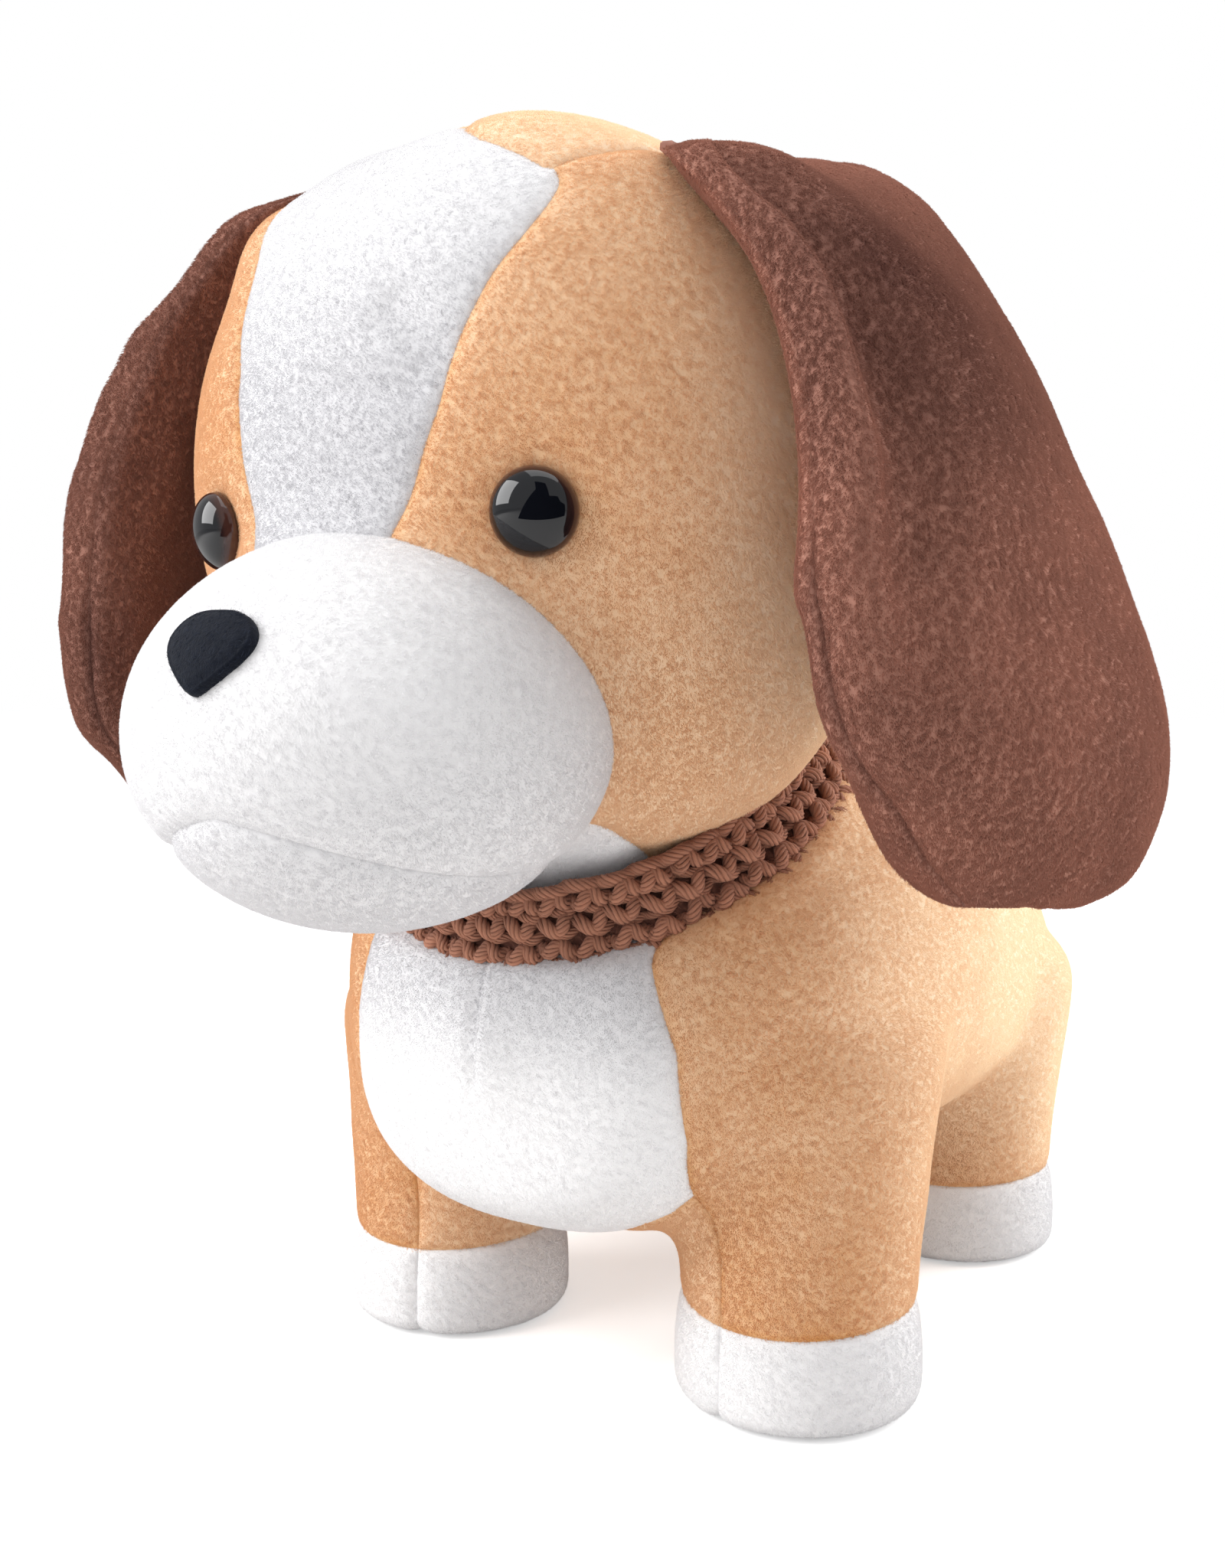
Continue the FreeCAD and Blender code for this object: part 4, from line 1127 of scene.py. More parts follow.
def closed_pad(middle, outer, inner, side):
    """Two layers that share a rim: points, quads of each, point ids of each, the rim mask."""
    rows, columns = outer.shape[:2]
    outer_ids = np.arange(rows * columns).reshape(rows, columns)
    inner_ids = outer_ids + rows * columns
    rim = np.ones((rows, columns), bool)
    rim[1:-1, 1:-1] = False
    inner_ids[rim] = outer_ids[rim]
    points = np.concatenate([outer.reshape(-1, 3), inner.reshape(-1, 3)])
    points[outer_ids[rim]] = middle[rim]
    return (points, grid_quads(outer_ids, side < 0), grid_quads(inner_ids, side > 0),
            outer_ids, inner_ids, rim)


def ear_pad(rows, columns, side):
    def puffed(height):
        return height * EAR_PUFF
    middle, outer, inner, _ = ear_layers(rows, columns, side, puffed, puffed)
    return closed_pad(middle, outer, inner, side)


def swell(points, quads, pinned):
    """Fills a closed cloth mesh with pressure; returns how each point moves."""
    scale = 0.01   # simulation units per mm
    frames = 20
    mesh = bpy.data.meshes.new("cloth_start")
    mesh.from_pydata((points * scale).tolist(), [], quads.tolist())
    sheet = link_object("cloth_start", mesh)
    sheet.vertex_groups.new(name="pin").add(np.nonzero(pinned)[0].tolist(), 1.0, "REPLACE")
    cloth = sheet.modifiers.new("cloth", "CLOTH")
    settings = dict(
        quality=6, mass=0.3, tension_stiffness=15.0, compression_stiffness=15.0,
        shear_stiffness=5.0, bending_stiffness=0.6, use_pressure=True,
        uniform_pressure_force=3.0, shrink_min=-0.015, vertex_group_mass="pin",
        pin_stiffness=1.0)
    for key, value in settings.items():
        setattr(cloth.settings, key, value)
    cloth.settings.effector_weights.gravity = 0.0
    cloth.collision_settings.use_self_collision = False
    cloth.point_cache.frame_start = 1
    cloth.point_cache.frame_end = frames
    scene = bpy.context.scene
    for number in range(1, frames + 1):
        scene.frame_set(number)
    result = sheet.evaluated_get(bpy.context.evaluated_depsgraph_get())
    ends = np.empty(len(points) * 3, np.float32)
    result.data.vertices.foreach_get("co", ends)
    bpy.data.objects.remove(sheet)
    scene.frame_set(1)
    shift = ends.reshape(-1, 3).astype(float) / scale - points
    shift = np.where(np.isfinite(shift), shift, 0.0)
    length = np.linalg.norm(shift, axis=1)
    return shift * (np.minimum(length, CLOTH_LIMIT) / np.maximum(length, 1e-9))[:, None]


def resample(grid, rows, columns):
    """Smoothly resamples a grid of vectors."""
    for count in (rows, columns):
        old, other = grid.shape[:2]
        grid = spline(np.arange(old), grid.reshape(old, -1), np.linspace(0, old - 1, count))
        grid = grid.reshape(count, other, 3).transpose(1, 0, 2)
    return grid


def ear_swelling(side):
    """Coarse grids of the cloth's movement, outer and inner, without its smallest kinks."""
    points, outer_quads, inner_quads, outer_ids, inner_ids, rim = ear_pad(46, 26, side)
    sheet, quads, used = compact(points, np.concatenate([outer_quads, inner_quads]),
                                 np.arange(len(points)))
    shift = np.zeros_like(points)
    shift[used] = swell(sheet, quads, np.isin(used, outer_ids[rim]))
    grids = []
    for ids in (outer_ids, inner_ids):
        grid = shift[ids]
        for _ in range(2):
            around = (grid[:-2, 1:-1] + grid[2:, 1:-1] + grid[1:-1, :-2] + grid[1:-1, 2:])
            grid[1:-1, 1:-1] = 0.5 * grid[1:-1, 1:-1] + 0.125 * around
        grids.append(grid)
    return grids


def build_ear(side, word):
    body = word + "_ear"
    outer_shift, inner_shift = ear_swelling(side)
    rows, columns = ((132, 84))
    points, outer_quads, inner_quads, outer_ids, inner_ids, rim = ear_pad(rows, columns, side)
    points[outer_ids] += resample(outer_shift, rows, columns)
    points[inner_ids[~rim]] += resample(inner_shift, rows, columns)[~rim]
    outer, inner = triangles(outer_quads), triangles(inner_quads)
    points = relax(points, np.concatenate([outer, inner]), 5)
    # below the root the pad keeps clear of the head
    down = np.linspace(0, 1, rows)
    free = np.ones(len(points))
    for ids in (outer_ids, inner_ids):
        free[ids] = ramp(down, start=0.05, over=0.12)[:, None]
    push = np.clip(0.5 - head_egg(points), 0, 6.0) * free
    points = points + gradient(head_egg, points) * push[:, None]
    rim_points = points[outer_ids[rim]]
    # what lies inside the head is cut away at the root
    skin = Skin(points)
    _, outer = skin.cut(outer, head_egg(skin.points), sewn=False)
    _, inner = skin.cut(inner, head_egg(skin.points), sewn=False)
    skin.seams = [rim_points[head_egg(rim_points) > -1.0]]
    skin.close([outer, inner])
    # up at the front the roll of the ear hides the edge seam
    show = np.full(len(skin.points), 0.4)
    half = columns // 2
    for ids in (outer_ids, inner_ids):
        show[ids[:, :half]] = (0.15 + 0.85 * ramp(down, start=0.46, over=0.16))[:, None]
        show[ids[:, half:]] = 0.6
    skin.sink(show * furrow(skin.gap, (1.0, 1.3), (0.5, 3.6)))
    # this also fades the painted shade of the seam there
    skin.gap = skin.gap + (1 - show) * 3.0
    skin.update_normals()
    skin.panel("ear_%s_outer" % word, outer, "brown", body, thick=EAR_THICK)
    skin.panel("ear_%s_inner" % word, inner, "brown", body, thick=EAR_THICK)
    build_wadding(side, word)


def build_wadding(side, word):
    """A thinner pad inside the ear."""
    _, outer, inner, edge_gap = ear_layers(
        60, 40, side,
        outer_of=lambda height: np.maximum(height * 0.85 - 5.4, -1.2),
        inner_of=lambda height: np.maximum(height * 0.85 - 3.0, 2.0))
    down, across = np.nonzero(edge_gap > WADDING_INSET)
    window = (slice(down.min(), down.max() + 1), slice(across.min(), across.max() + 1))
    outer, inner = outer[window], inner[window]
    points, outer_quads, inner_quads, *_ = closed_pad((outer + inner) / 2, outer, inner, side)
    faces = np.concatenate([triangles(outer_quads), triangles(inner_quads)])
    add_piece("ear_%s_wadding_fill" % word, *compact(points, faces), "fill", word + "_ear",
              "stuffing", "ear_%s_wadding" % word)


build_ear(1, "left")
build_ear(-1, "right")

# ---------------------------------------------------------------- collar
# Rows of crochet in plied yarn, worked round the neck on a band that narrows upwards.
COLLAR_HALF = 7.4                 # half height along the neck axis
COLLAR_LOW_R, COLLAR_HIGH_R = 51.6, 43.8
COLLAR_ACROSS = math.hypot(2 * COLLAR_HALF, COLLAR_HIGH_R - COLLAR_LOW_R)
ROWS = 4
STITCHES = 44                     # in one row
STITCH_WIDE = 6.8
YARN_R, BAR_R = 1.38, 1.0
PLIES = 7
PLY_SIDES = 5
PLY_TURN = 7.5                    # length of one full twist
YARN_STEP = 0.55
# yarn paths of one stitch: along the row, up the band, outwards
STITCH = [(-3.4, 0.6, -2.0), (-2.7, 1.25, -0.3), (-1.5, 0.75, 0.8), (-0.35, -0.75, 0.75),
          (0.65, -1.35, 0.0), (1.5, -0.2, 0.5), (2.3, 1.15, 0.45), (2.95, 1.2, -0.8)]
BARS = [(-3.4, -1.9, -1.5), (-2.2, -1.7, -0.5), (-0.6, -1.9, 0.1), (0.9, -2.1, 0.15),
        (2.3, -1.8, -0.6)]
CHAIN = [(-3.4, 1.9, -0.7), (-1.9, 2.3, 0.1), (0.2, 2.45, 0.35), (2.1, 2.15, -0.1)]
ACROSS_NECK = np.array((1.0, 0.0, 0.0))
THROUGH_NECK = np.cross(NECK_AXIS, ACROSS_NECK)
collar_rng = np.random.default_rng(5)


def on_collar(angle, height, depth):
    """Points at an angle round the neck, 0..1 up the band, and outwards in mm."""
    along = -COLLAR_HALF + 2 * COLLAR_HALF * height
    radius = COLLAR_LOW_R + (COLLAR_HIGH_R - COLLAR_LOW_R) * height + depth
    return (NECK + np.outer(along, NECK_AXIS)
            + (radius * np.cos(angle))[:, None] * ACROSS_NECK
            + (radius * np.sin(angle))[:, None] * THROUGH_NECK)


def plied_yarn(curve, thick, seed):
    """Closed yarn along a closed curve, its plies twisted round it: a part for join()."""
    spans = np.linalg.norm(np.roll(curve, -1, 0) - curve, axis=1)
    lengths = np.concatenate([[0], np.cumsum(spans)])
    total = lengths[-1]
    count = int(total / YARN_STEP)
    place = np.linspace(0, total, count, endpoint=False)
    closed = np.concatenate([curve, curve[:1]])
    centre = np.stack([np.interp(place, lengths, closed[:, i]) for i in range(3)], -1)
    for _ in range(2):
        centre = 0.5 * centre + 0.25 * (np.roll(centre, 1, 0) + np.roll(centre, -1, 0))

    def heading(path):
        return unit(np.roll(path, -1, 0) - np.roll(path, 1, 0))

    # a steady frame along the yarn
    out = away_from_neck(centre)
    ahead = heading(centre)
    first = tangent(ahead, out)
    second = np.cross(ahead, first)
    # how far the yarn stands out, for painted shade where it dips
    depth = ((centre - NECK) * out).sum(1)
    depth = 0.14 * np.clip(depth - np.median(depth), -2, 1.5)[:, None]
    turns = round(total / PLY_TURN)
    angles = 2 * np.pi * np.arange(PLY_SIDES) / PLY_SIDES
    cos, sin = np.cos(angles)[None, :, None], np.sin(angles)[None, :, None]
    quads = torus_quads(count, PLY_SIDES, first_axis=0)
    along = place[:, None]
    plies = []
    for j in range(PLIES):
        turn = 2 * np.pi * (j / PLIES + turns * place / total)
        # each ply swells and thins about every 9 mm
        wave = 2 * np.pi * np.round(total / 9) * place / total
        radius = thick * 0.32 * (1 + 0.10 * np.sin(wave + j * 2.1 + seed))
        path = centre + thick * 0.70 * (np.cos(turn)[:, None] * first
                                        + np.sin(turn)[:, None] * second)
        ply_ahead = heading(path)
        ply_first = tangent(ply_ahead, out)
        ply_second = np.cross(ply_ahead, ply_first)
        rings = path[:, None] + radius[:, None, None] * (cos * ply_first[:, None]
                                                         + sin * ply_second[:, None])
        # painted light outwards, painted shade in the cracks between plies and where the yarn dips
        offset = rings - centre[:, None]
        outwards = (offset * out[:, None]).sum(2) / thick
        away = np.linalg.norm(offset, axis=2) / thick
        shade = (0.20 + 0.26 * outwards + 0.95 * (away - 0.78) + depth
                 + 0.04 * math.sin(j * 2.4 + seed))
        # texture place: along the ply, round it, and one value for each ply
        ply = np.stack(np.broadcast_arrays(
            along * 0.9 + 37.0 * j, angles * 1.6 + along * 1.1, 5.0 * j + seed), -1)
        plies.append((rings.reshape(-1, 3), quads, shade.ravel(), ply.reshape(-1, 3)))
    return join(plies)


def crochet_row(stitch, row, shift, seed, thick=YARN_R):
    """One strand of yarn that repeats a stitch all round, a little unevenly."""
    # odd rows lean the other way
    lean = -0.92 if stitch is STITCH and row % 2 else 1.0
    points = []
    for i in range(STITCHES):
        off_x, off_z, off_depth = collar_rng.normal(0, 0.28, 3)
        wide = 1 + collar_rng.normal(0, 0.05)
        tilt = collar_rng.normal(0, 0.10)
        for x, z, depth in stitch:
            turn = (i + shift + (x * wide + off_x) / STITCH_WIDE) / STITCHES
            height = (row + 0.5) / ROWS + (z * lean * 0.98 + off_z + tilt * x) / COLLAR_ACROSS
            points.append((turn * 2 * math.pi, height, depth + 0.6 * off_depth - 1.35))
    curve = closed_spline(on_collar(*np.array(points).T), 6)
    return plied_yarn(curve, thick, seed)


def build_collar():
    """The four rows; returns their points for the loose fibre."""
    row_points = []
    for row in range(ROWS):
        shift = 0.13 * row
        parts = [crochet_row(STITCH, row, shift, seed=3 * row),
                 crochet_row(BARS, row, shift + 0.1, seed=3 * row + 31, thick=BAR_R)]
        if row == ROWS - 1:
            parts.append(crochet_row(CHAIN, row, 0.3, seed=40))
        points, quads, shade, ply = join(parts)
        add_piece("collar_row_%d" % (row + 1), points, quads, "yarn", "collar_band",
                  "crochet_yarn", node="collar" if row == 0 else None, shade=shade, ply=ply)
        row_points.append(points)
    return row_points


def build_back_loops():
    """The rippled band that closes the collar on its inner side."""
    angle = np.linspace(0, 2 * np.pi, 12 * STITCHES, endpoint=False)
    heights = np.linspace(0.02, 0.98, 22)
    rings = []
    # up the outer face, then down the inner face with half the ripple
    for depth, ripple, face in ((-2.1, 1, heights), (-3.7, 0.5, heights[::-1])):
        for height in face:
            wave = (0.35 * np.cos(angle * STITCHES) * math.cos(height * 3 * 2 * math.pi)
                    + 0.2 * np.cos(angle * STITCHES * 3 + height * 20))
            rings.append(on_collar(angle, np.full_like(angle, height), depth + wave * ripple))
    points = np.concatenate(rings)
    ply = np.stack([np.tile(angle * 45 * 0.9, len(rings)),
                    np.repeat(np.arange(len(rings)) * 0.9, len(angle)),
                    np.full(len(points), 3.0)], -1)
    # painted shade: the back loops are coloured darker than the rows
    add_piece("collar_back_loops", points, torus_quads(len(rings), len(angle), first_axis=1),
              "yarn", "collar_band", "crochet_yarn", shade=np.full(len(points), 0.02), ply=ply)


collar_points = build_collar()
build_back_loops()

# ---------------------------------------------------------------- eyes
EYE_R, EYE_HIGH = 7.0, 4.5
EYE_FLAT_R = 6.6        # inside this radius the profile steps evenly
STEM_R, STEM_RIB_R = 2.15, 2.45
EYE_SIDES = 96


def axes_at(normal):
    """Sideways, upward and outward unit axes on a surface."""
    normal = np.asarray(normal, float) / np.linalg.norm(normal)
    sideways = np.cross((0, 0, 1.0), normal)
    sideways /= np.linalg.norm(sideways)
    return sideways, np.cross(normal, sideways), normal


def eye_profile():
    """Radius and height: the dome, its rim, then the ribbed stem inside the head."""
    bend = np.linspace(math.asin(EYE_FLAT_R / EYE_R), math.pi / 2, 8)[1:]
    radius = np.concatenate([[0], np.linspace(0.35, EYE_FLAT_R, 30), EYE_R * np.sin(bend)])
    height = 0.1 + EYE_HIGH * np.sqrt(np.clip(1 - (radius / EYE_R) ** 2, 0, 1)) ** 1.06
    profile = list(zip(radius, height))
    profile += [(7.05, -0.25), (6.95, -0.7), (6.6, -1.0), (2.4, -1.05), (STEM_R, -1.4)]
    for k in range(8):
        z = -1.9 - k * 0.9
        profile += [(STEM_R, z), (STEM_RIB_R, z - 0.15), (STEM_RIB_R, z - 0.4),
                    (STEM_R, z - 0.6)]
    return np.array(profile + [(2.1, -9.6), (1.6, -10.2), (0, -10.3)])


def build_eye(word, place, normal):
    sideways, upward, outward = axes_at(normal)
    origin = place - normal * 0.5
    profile = eye_profile()
    angles = 2 * np.pi * np.arange(EYE_SIDES) / EYE_SIDES
    spokes = np.cos(angles)[:, None] * sideways + np.sin(angles)[:, None] * upward
    repeats = np.full(len(profile), EYE_SIDES)
    repeats[[0, -1]] = 1   # both ends are single points on the axis
    points = origin + np.repeat(profile[:, 1], repeats)[:, None] * outward
    points[1:-1] += (profile[1:-1, 0][:, None, None] * spokes).reshape(-1, 3)
    shade = np.repeat(ramp(profile[:, 0], start=5.9, over=1.2), repeats)
    add_piece("eye_%s_dome" % word, points, capped_rings(len(profile) - 2, EYE_SIDES), "eye",
              "head", "eye_plastic", "eye_" + word, shade=shade)
    set_material("eye_washer_" + word, "plastic")


for word, place, normal in zip(("left", "right"), EYE_PLACES, EYE_NORMALS):
    build_eye(word, place, normal)

# ---------------------------------------------------------------- nose
NOSE_PLACE = (0.0, -113.3, 147.1)
NOSE_MIDDLE = np.array((0.0, 0.4))
# half outline, sideways and up, from the top middle to the bottom middle
NOSE_HALF = [(0, 6.4), (-3.6, 6.2), (-6.6, 5.0), (-8.4, 2.8), (-8.5, 0.4), (-7.0, -2.2),
             (-4.6, -4.6), (-2.2, -6.6), (-0.8, -7.5), (0.0, -7.7)]
# rings of the patch as parts of its outline, from the middle out
NOSE_RINGS = [0.12, 0.26, 0.4, 0.54, 0.66, 0.76, 0.84, 0.89, 0.93, 0.965, 0.99, 1.0]
NOSE_SINK = 0.35


def build_nose():
    """A felt patch, its edge turned under and stitched; returns its points and faces."""
    half = np.array(NOSE_HALF, float)
    outline = closed_spline(np.concatenate([half, half[-2:0:-1] * (-1, 1)]), 8)
    origin = onto(muzzle_egg, NOSE_PLACE)[0]
    sideways, upward, _ = axes_at(gradient(muzzle_egg, origin[None])[0])

    def ring(size, height):
        """The outline scaled about the nose's middle, at a height above the muzzle."""
        flat = NOSE_MIDDLE + (outline - NOSE_MIDDLE) * size
        places = onto(muzzle_egg, origin + flat[:, :1] * sideways + flat[:, 1:2] * upward, 4)
        return places + unit(gradient(muzzle_egg, places)) * height

    rings = []
    for size in NOSE_RINGS:
        inset = (1 - size) * 7.5
        height = 1.55 + 0.55 * math.sqrt(max(0.0, 1 - size ** 2))
        height -= 0.28 * math.exp(-((inset - 1.0) / 0.32) ** 2)   # the stitched groove
        if inset < 0.75:   # the turned edge
            height *= float(rounded(inset + 0.02, 0.75))
        rings.append(ring(size, height - NOSE_SINK))
    rings += [ring(0.995, -0.9), ring(0.9, -1.6)]
    points = np.concatenate([ring(0.0, 2.1 - NOSE_SINK)[:1], *rings, ring(0.0, -1.6)[:1]])
    faces = capped_rings(len(rings), len(outline))
    add_piece("nose_patch", points, faces, "felt", "head", "nose_felt", "nose_felt")
    return points, faces


nose_points, nose_faces = build_nose()

# ---------------------------------------------------------------- tail
TAIL_LEAN = math.radians(50.0)    # back from upright
TAIL_AXIS = np.array((0, math.sin(TAIL_LEAN), math.cos(TAIL_LEAN)))
TAIL_MID = np.array((0.0, 125.5, 94.0)) + TAIL_AXIS * 9.0
TAIL_ROOT, TAIL_TIP = -18.5, 30.5   # along the axis from TAIL_MID
TAIL_STATIONS = [-19.0, -9.0, 0.0, 8.0, 16.0, 24.0, 31.0]
TAIL_RADII = [7.4, 7.9, 8.3, 8.5, 8.2, 7.2, 5.4]
TAIL_BOX = ((-12, 110, 80), (12, 165, 135))


def tail_form(points):
    """A soft finger that narrows towards its end."""
    offset = points - TAIL_MID
    along = offset @ TAIL_AXIS
    out = np.hypot(offset[:, 0], offset @ np.array((0, -TAIL_AXIS[2], TAIL_AXIS[1])))
    side = out - spline(TAIL_STATIONS, TAIL_RADII, along)
    return smooth_max(smooth_max(side, along - TAIL_TIP, 7.5), TAIL_ROOT - along, 3.0)


def build_tail():
    points, faces = polygonise(tail_form, *TAIL_BOX, 1.0)
    skin = Skin(points)
    right, left = skin.cut(faces, points[:, 0])
    skin.close([right, left])
    skin.sink(furrow(skin.gap, (0.9, 1.3), (0.35, 3.2)))
    skin.sink(-0.35 * fbm(skin.points, scale=9.0, seed=31))   # hand-stuffed unevenness
    skin.update_normals()
    skin.panel("tail_left", left, "tan", "tail", node="tail_cover_left")
    skin.panel("tail_right", right, "tan", "tail", node="tail_cover_right")


build_tail()

# ---------------------------------------------------------------- filling, under the covers
FILL_INSET = 4.6
TAIL_FILL_INSET = 3.2


def head_fill_form(points):
    along, out = neck_coords(points)
    form = smooth_min(head_egg(points), muzzle_egg(points), 4.0) + FILL_INSET
    core = smooth_max(out - 24.0, np.abs(along - 24.0) - 14.0, 2.0)
    form = smooth_max(smooth_min(form, core, 3.0), 9.0 - along, 2.0)
    for place, normal in zip(EYE_PLACES, EYE_NORMALS):
        # a hole behind each eye for its stem
        depth, out = along_and_out(points, place, normal)
        form = smooth_max(form, -np.maximum(out - 8.0, -depth - 12.5), 1.0)
    return form


def body_fill_form(points):
    return smooth_max(body_form(points) + FILL_INSET, neck_coords(points)[0] + 9.0, 2.0)


def tail_fill_form(points):
    return tail_form(points) + TAIL_FILL_INSET


def build_filling(word, form, box, step, body, lump=0.7):
    points, faces = polygonise(form, *box, step, rounds=2)
    bumps = (lump * (0.5 + 0.5 * fbm(points, scale=8.0, seed=41))
             + 0.4 * np.abs(fbm(points, scale=3.5, seed=43)))
    points = points - normals_of(points, faces) * bumps[:, None]
    add_piece(word + "_fill", points, faces, "fill", body, "stuffing", word + "_filling")


build_filling("head", head_fill_form, ((-70, -112, 100), (70, 28, 246)), 3.0, "head")
build_filling("body", body_fill_form, ((-72, -50, 1), (72, 132, 136)), 3.0, "torso")
build_filling("tail", tail_fill_form, TAIL_BOX, 1.5, "tail", lump=0.2)
set_material("neck_wad", "fill")
set_material("neck_thread", "thread")

# ---------------------------------------------------------------- pile: tufts on every cover
# length mm, tufts per mm2, lean from upright in radians, strand radius mm,
# pull of a tuft's strands towards its tip
PILE = {
    "tan": dict(length=0.46, density=2.5, lean=0.72, radius=0.038, pull=0.0),
    "white": dict(length=0.38, density=2.4, lean=0.62, radius=0.040, pull=0.0),
    "brown": dict(length=0.66, density=2.6, lean=0.88, radius=0.037, pull=0.02),
}
TUFT_STRANDS = 9
TUFT_R = 0.66


def add_strands(name, strands, radius, tint, material, body):
    """Hair curves from a strands x points x 3 array; one tint for each strand."""
    count, size = strands.shape[:2]
    curves = bpy.data.hair_curves.new(name)
    curves.add_curves([size] * count)
    places = to_frame(strands.reshape(-1, 3)).astype(np.float32).ravel()
    curves.attributes["position"].data.foreach_set("vector", places)
    radii = curves.attributes.get("radius") or curves.attributes.new("radius", "FLOAT", "POINT")
    values = (np.broadcast_to(radius, (count, size)) / 1000.0).astype(np.float32)
    radii.data.foreach_set("value", values.ravel())
    tints = curves.attributes.new("tint", "FLOAT", "CURVE")
    tints.data.foreach_set("value", tint.astype(np.float32))
    curves.materials.append(material)
    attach(link_object(name, curves), body)


def face_cross(points, faces):
    corner = points[faces[:, 0]]
    return np.cross(points[faces[:, 1]] - corner, points[faces[:, 2]] - corner)


def nap_direction(places, cloth, on_muzzle, seed):
    """The way the pile lies: downwards, or away from the nose on the muzzle."""
    if cloth == "brown":
        lie = np.array((0.0, 0.10, -1.0))
    elif on_muzzle:
        lie = unit(places - np.array((0, -118.0, 152.0))) + (0, 0, -0.4)
    else:
        lie = np.array((0.0, 0.35, -1.0))
    broad = [fbm(places, scale=16.0, seed=seed + i) for i in (1, 2, 3)]
    close = [noise(places, scale=2.2, seed=seed + i) for i in (4, 5, 6)]
    return lie + 0.32 * np.stack(broad, -1) + 0.10 * np.stack(close, -1)


def grow_pile(names, object_name, cloth, body, seed):
    rng = np.random.default_rng(seed)
    pile = PILE[cloth]
    density, strand_r = pile["density"], pile["radius"]
    points, faces, normals, gap, shade = join([PANELS[name][2] for name in names])
    area = np.linalg.norm(face_cross(points, faces), axis=1) / 2
    # nothing grows where a piece rests on the floor or lies under the collar
    centre = points[faces].mean(1)
    along, out = neck_coords(centre)
    hidden = (centre[:, 2] < 0.4) | ((along > -6.0) & (out < 44.0) & (body == "torso"))
    area = np.where(hidden, 0, area)
    count = int(area.sum() * density)
    reach = np.cumsum(area)
    pick = np.searchsorted(reach, (np.arange(count) + rng.random(count)) / count * reach[-1])
    a, b = rng.random(count), rng.random(count)
    over = a + b > 1
    a[over], b[over] = 1 - a[over], 1 - b[over]
    weights = np.stack([1 - a - b, a, b], -1)
    corners = faces[pick.clip(0, len(faces) - 1)]
    place = (points[corners] * weights[..., None]).sum(1)
    normal = (normals[corners] * weights[..., None]).sum(1)
    normal /= np.linalg.norm(normal, axis=1)[:, None]
    gap = (gap[corners] * weights).sum(1)
    shade = (shade[corners] * weights).sum(1)

    flat = tangent(normal, nap_direction(place, cloth, "muzzle" in object_name, seed))
    aside = np.cross(normal, flat)
    # shorter in the seams
    length = (pile["length"] * (0.72 + 0.28 * ramp(gap, start=0, over=2.2))
              * (0.9 + 0.2 * rng.random(count))
              * (1 + 0.12 * fbm(place, scale=9.0, seed=seed + 9)))
    lean = pile["lean"] * (1 + 0.12 * noise(place, scale=5.0, seed=seed + 8))
    tuft_tip = (place + normal * (length * np.cos(lean))[:, None]
                + flat * (length * np.sin(lean))[:, None])

    shape = (count, TUFT_STRANDS)
    spread = TUFT_R * np.sqrt(rng.random(shape))
    angle = 2 * np.pi * rng.random(shape)
    root = (place[:, None] + (spread * np.cos(angle))[..., None] * flat[:, None]
            + (spread * np.sin(angle))[..., None] * aside[:, None] - normal[:, None] * 0.12)
    jitter = rng.normal(0, 0.10 * pile["length"], (*shape, 3))
    pull = pile["pull"] * (0.75 + 0.5 * rng.random(shape))[..., None]
    free = root + (tuft_tip - place)[:, None]
    gather = (tuft_tip[:, None] - free) * pull
    tip = free + gather + jitter
    tip = root + (tip - root) * (0.85 + 0.3 * rng.random(shape))[..., None]
    arch = normal[:, None] * (0.16 * length)[:, None, None]
    middle = root * 0.5 + free * 0.5 + arch + gather * 0.3
    strands = np.stack([root, middle, tip], 2).reshape(-1, 3, 3)
    strands[..., 2] = np.maximum(strands[..., 2], 0.02)
    # each strand takes its panel's painted light and shade, with a little random tone
    tint = (shade[:, None] + 0.03 * noise(place, scale=1.3, seed=seed + 12)[:, None]
            + 0.07 * (rng.random(shape) - 0.5))
    add_strands(object_name, strands, np.array([1.0, 0.85, 0.35]) * strand_r, tint.ravel(),
                PILE_FIBRE[cloth], body)


def grow_all_pile():
    """One strand object for each cloth on each body, the muzzle apart."""
    groups = {}
    for name, (cloth, body, _) in PANELS.items():
        extra = "_muzzle" if name.startswith(("muzzle", "chin")) else ""
        groups.setdefault((body, cloth, extra), []).append(name)
    for i, ((body, cloth, extra), names) in enumerate(sorted(groups.items())):
        grow_pile(names, "pile_%s_%s%s" % (body, cloth, extra), cloth, body, 100 + 13 * i)


def grow_collar_fuzz(rng):
    """Loose fibre on the yarn."""
    count = 4200
    for i, points in enumerate(collar_points):
        root = points[rng.integers(0, len(points), count)]
        first = unit(rng.normal(0, 1, (count, 3)) + away_from_neck(root) * 0.7)
        second = unit(rng.normal(0, 1, (count, 3)) * 0.6 + first)
        length = (0.35 + 0.8 * rng.random(count) ** 2)[:, None]
        middle = root + first * length * 0.6
        strands = np.stack([root, middle, middle + second * length * 0.6], 1)
        tint = 0.35 + 0.5 * rng.random(count)
        add_strands("collar_fuzz_%d" % i, strands, np.array([0.022, 0.018, 0.01]), tint,
                    PILE_FIBRE["brown"], "collar_band")


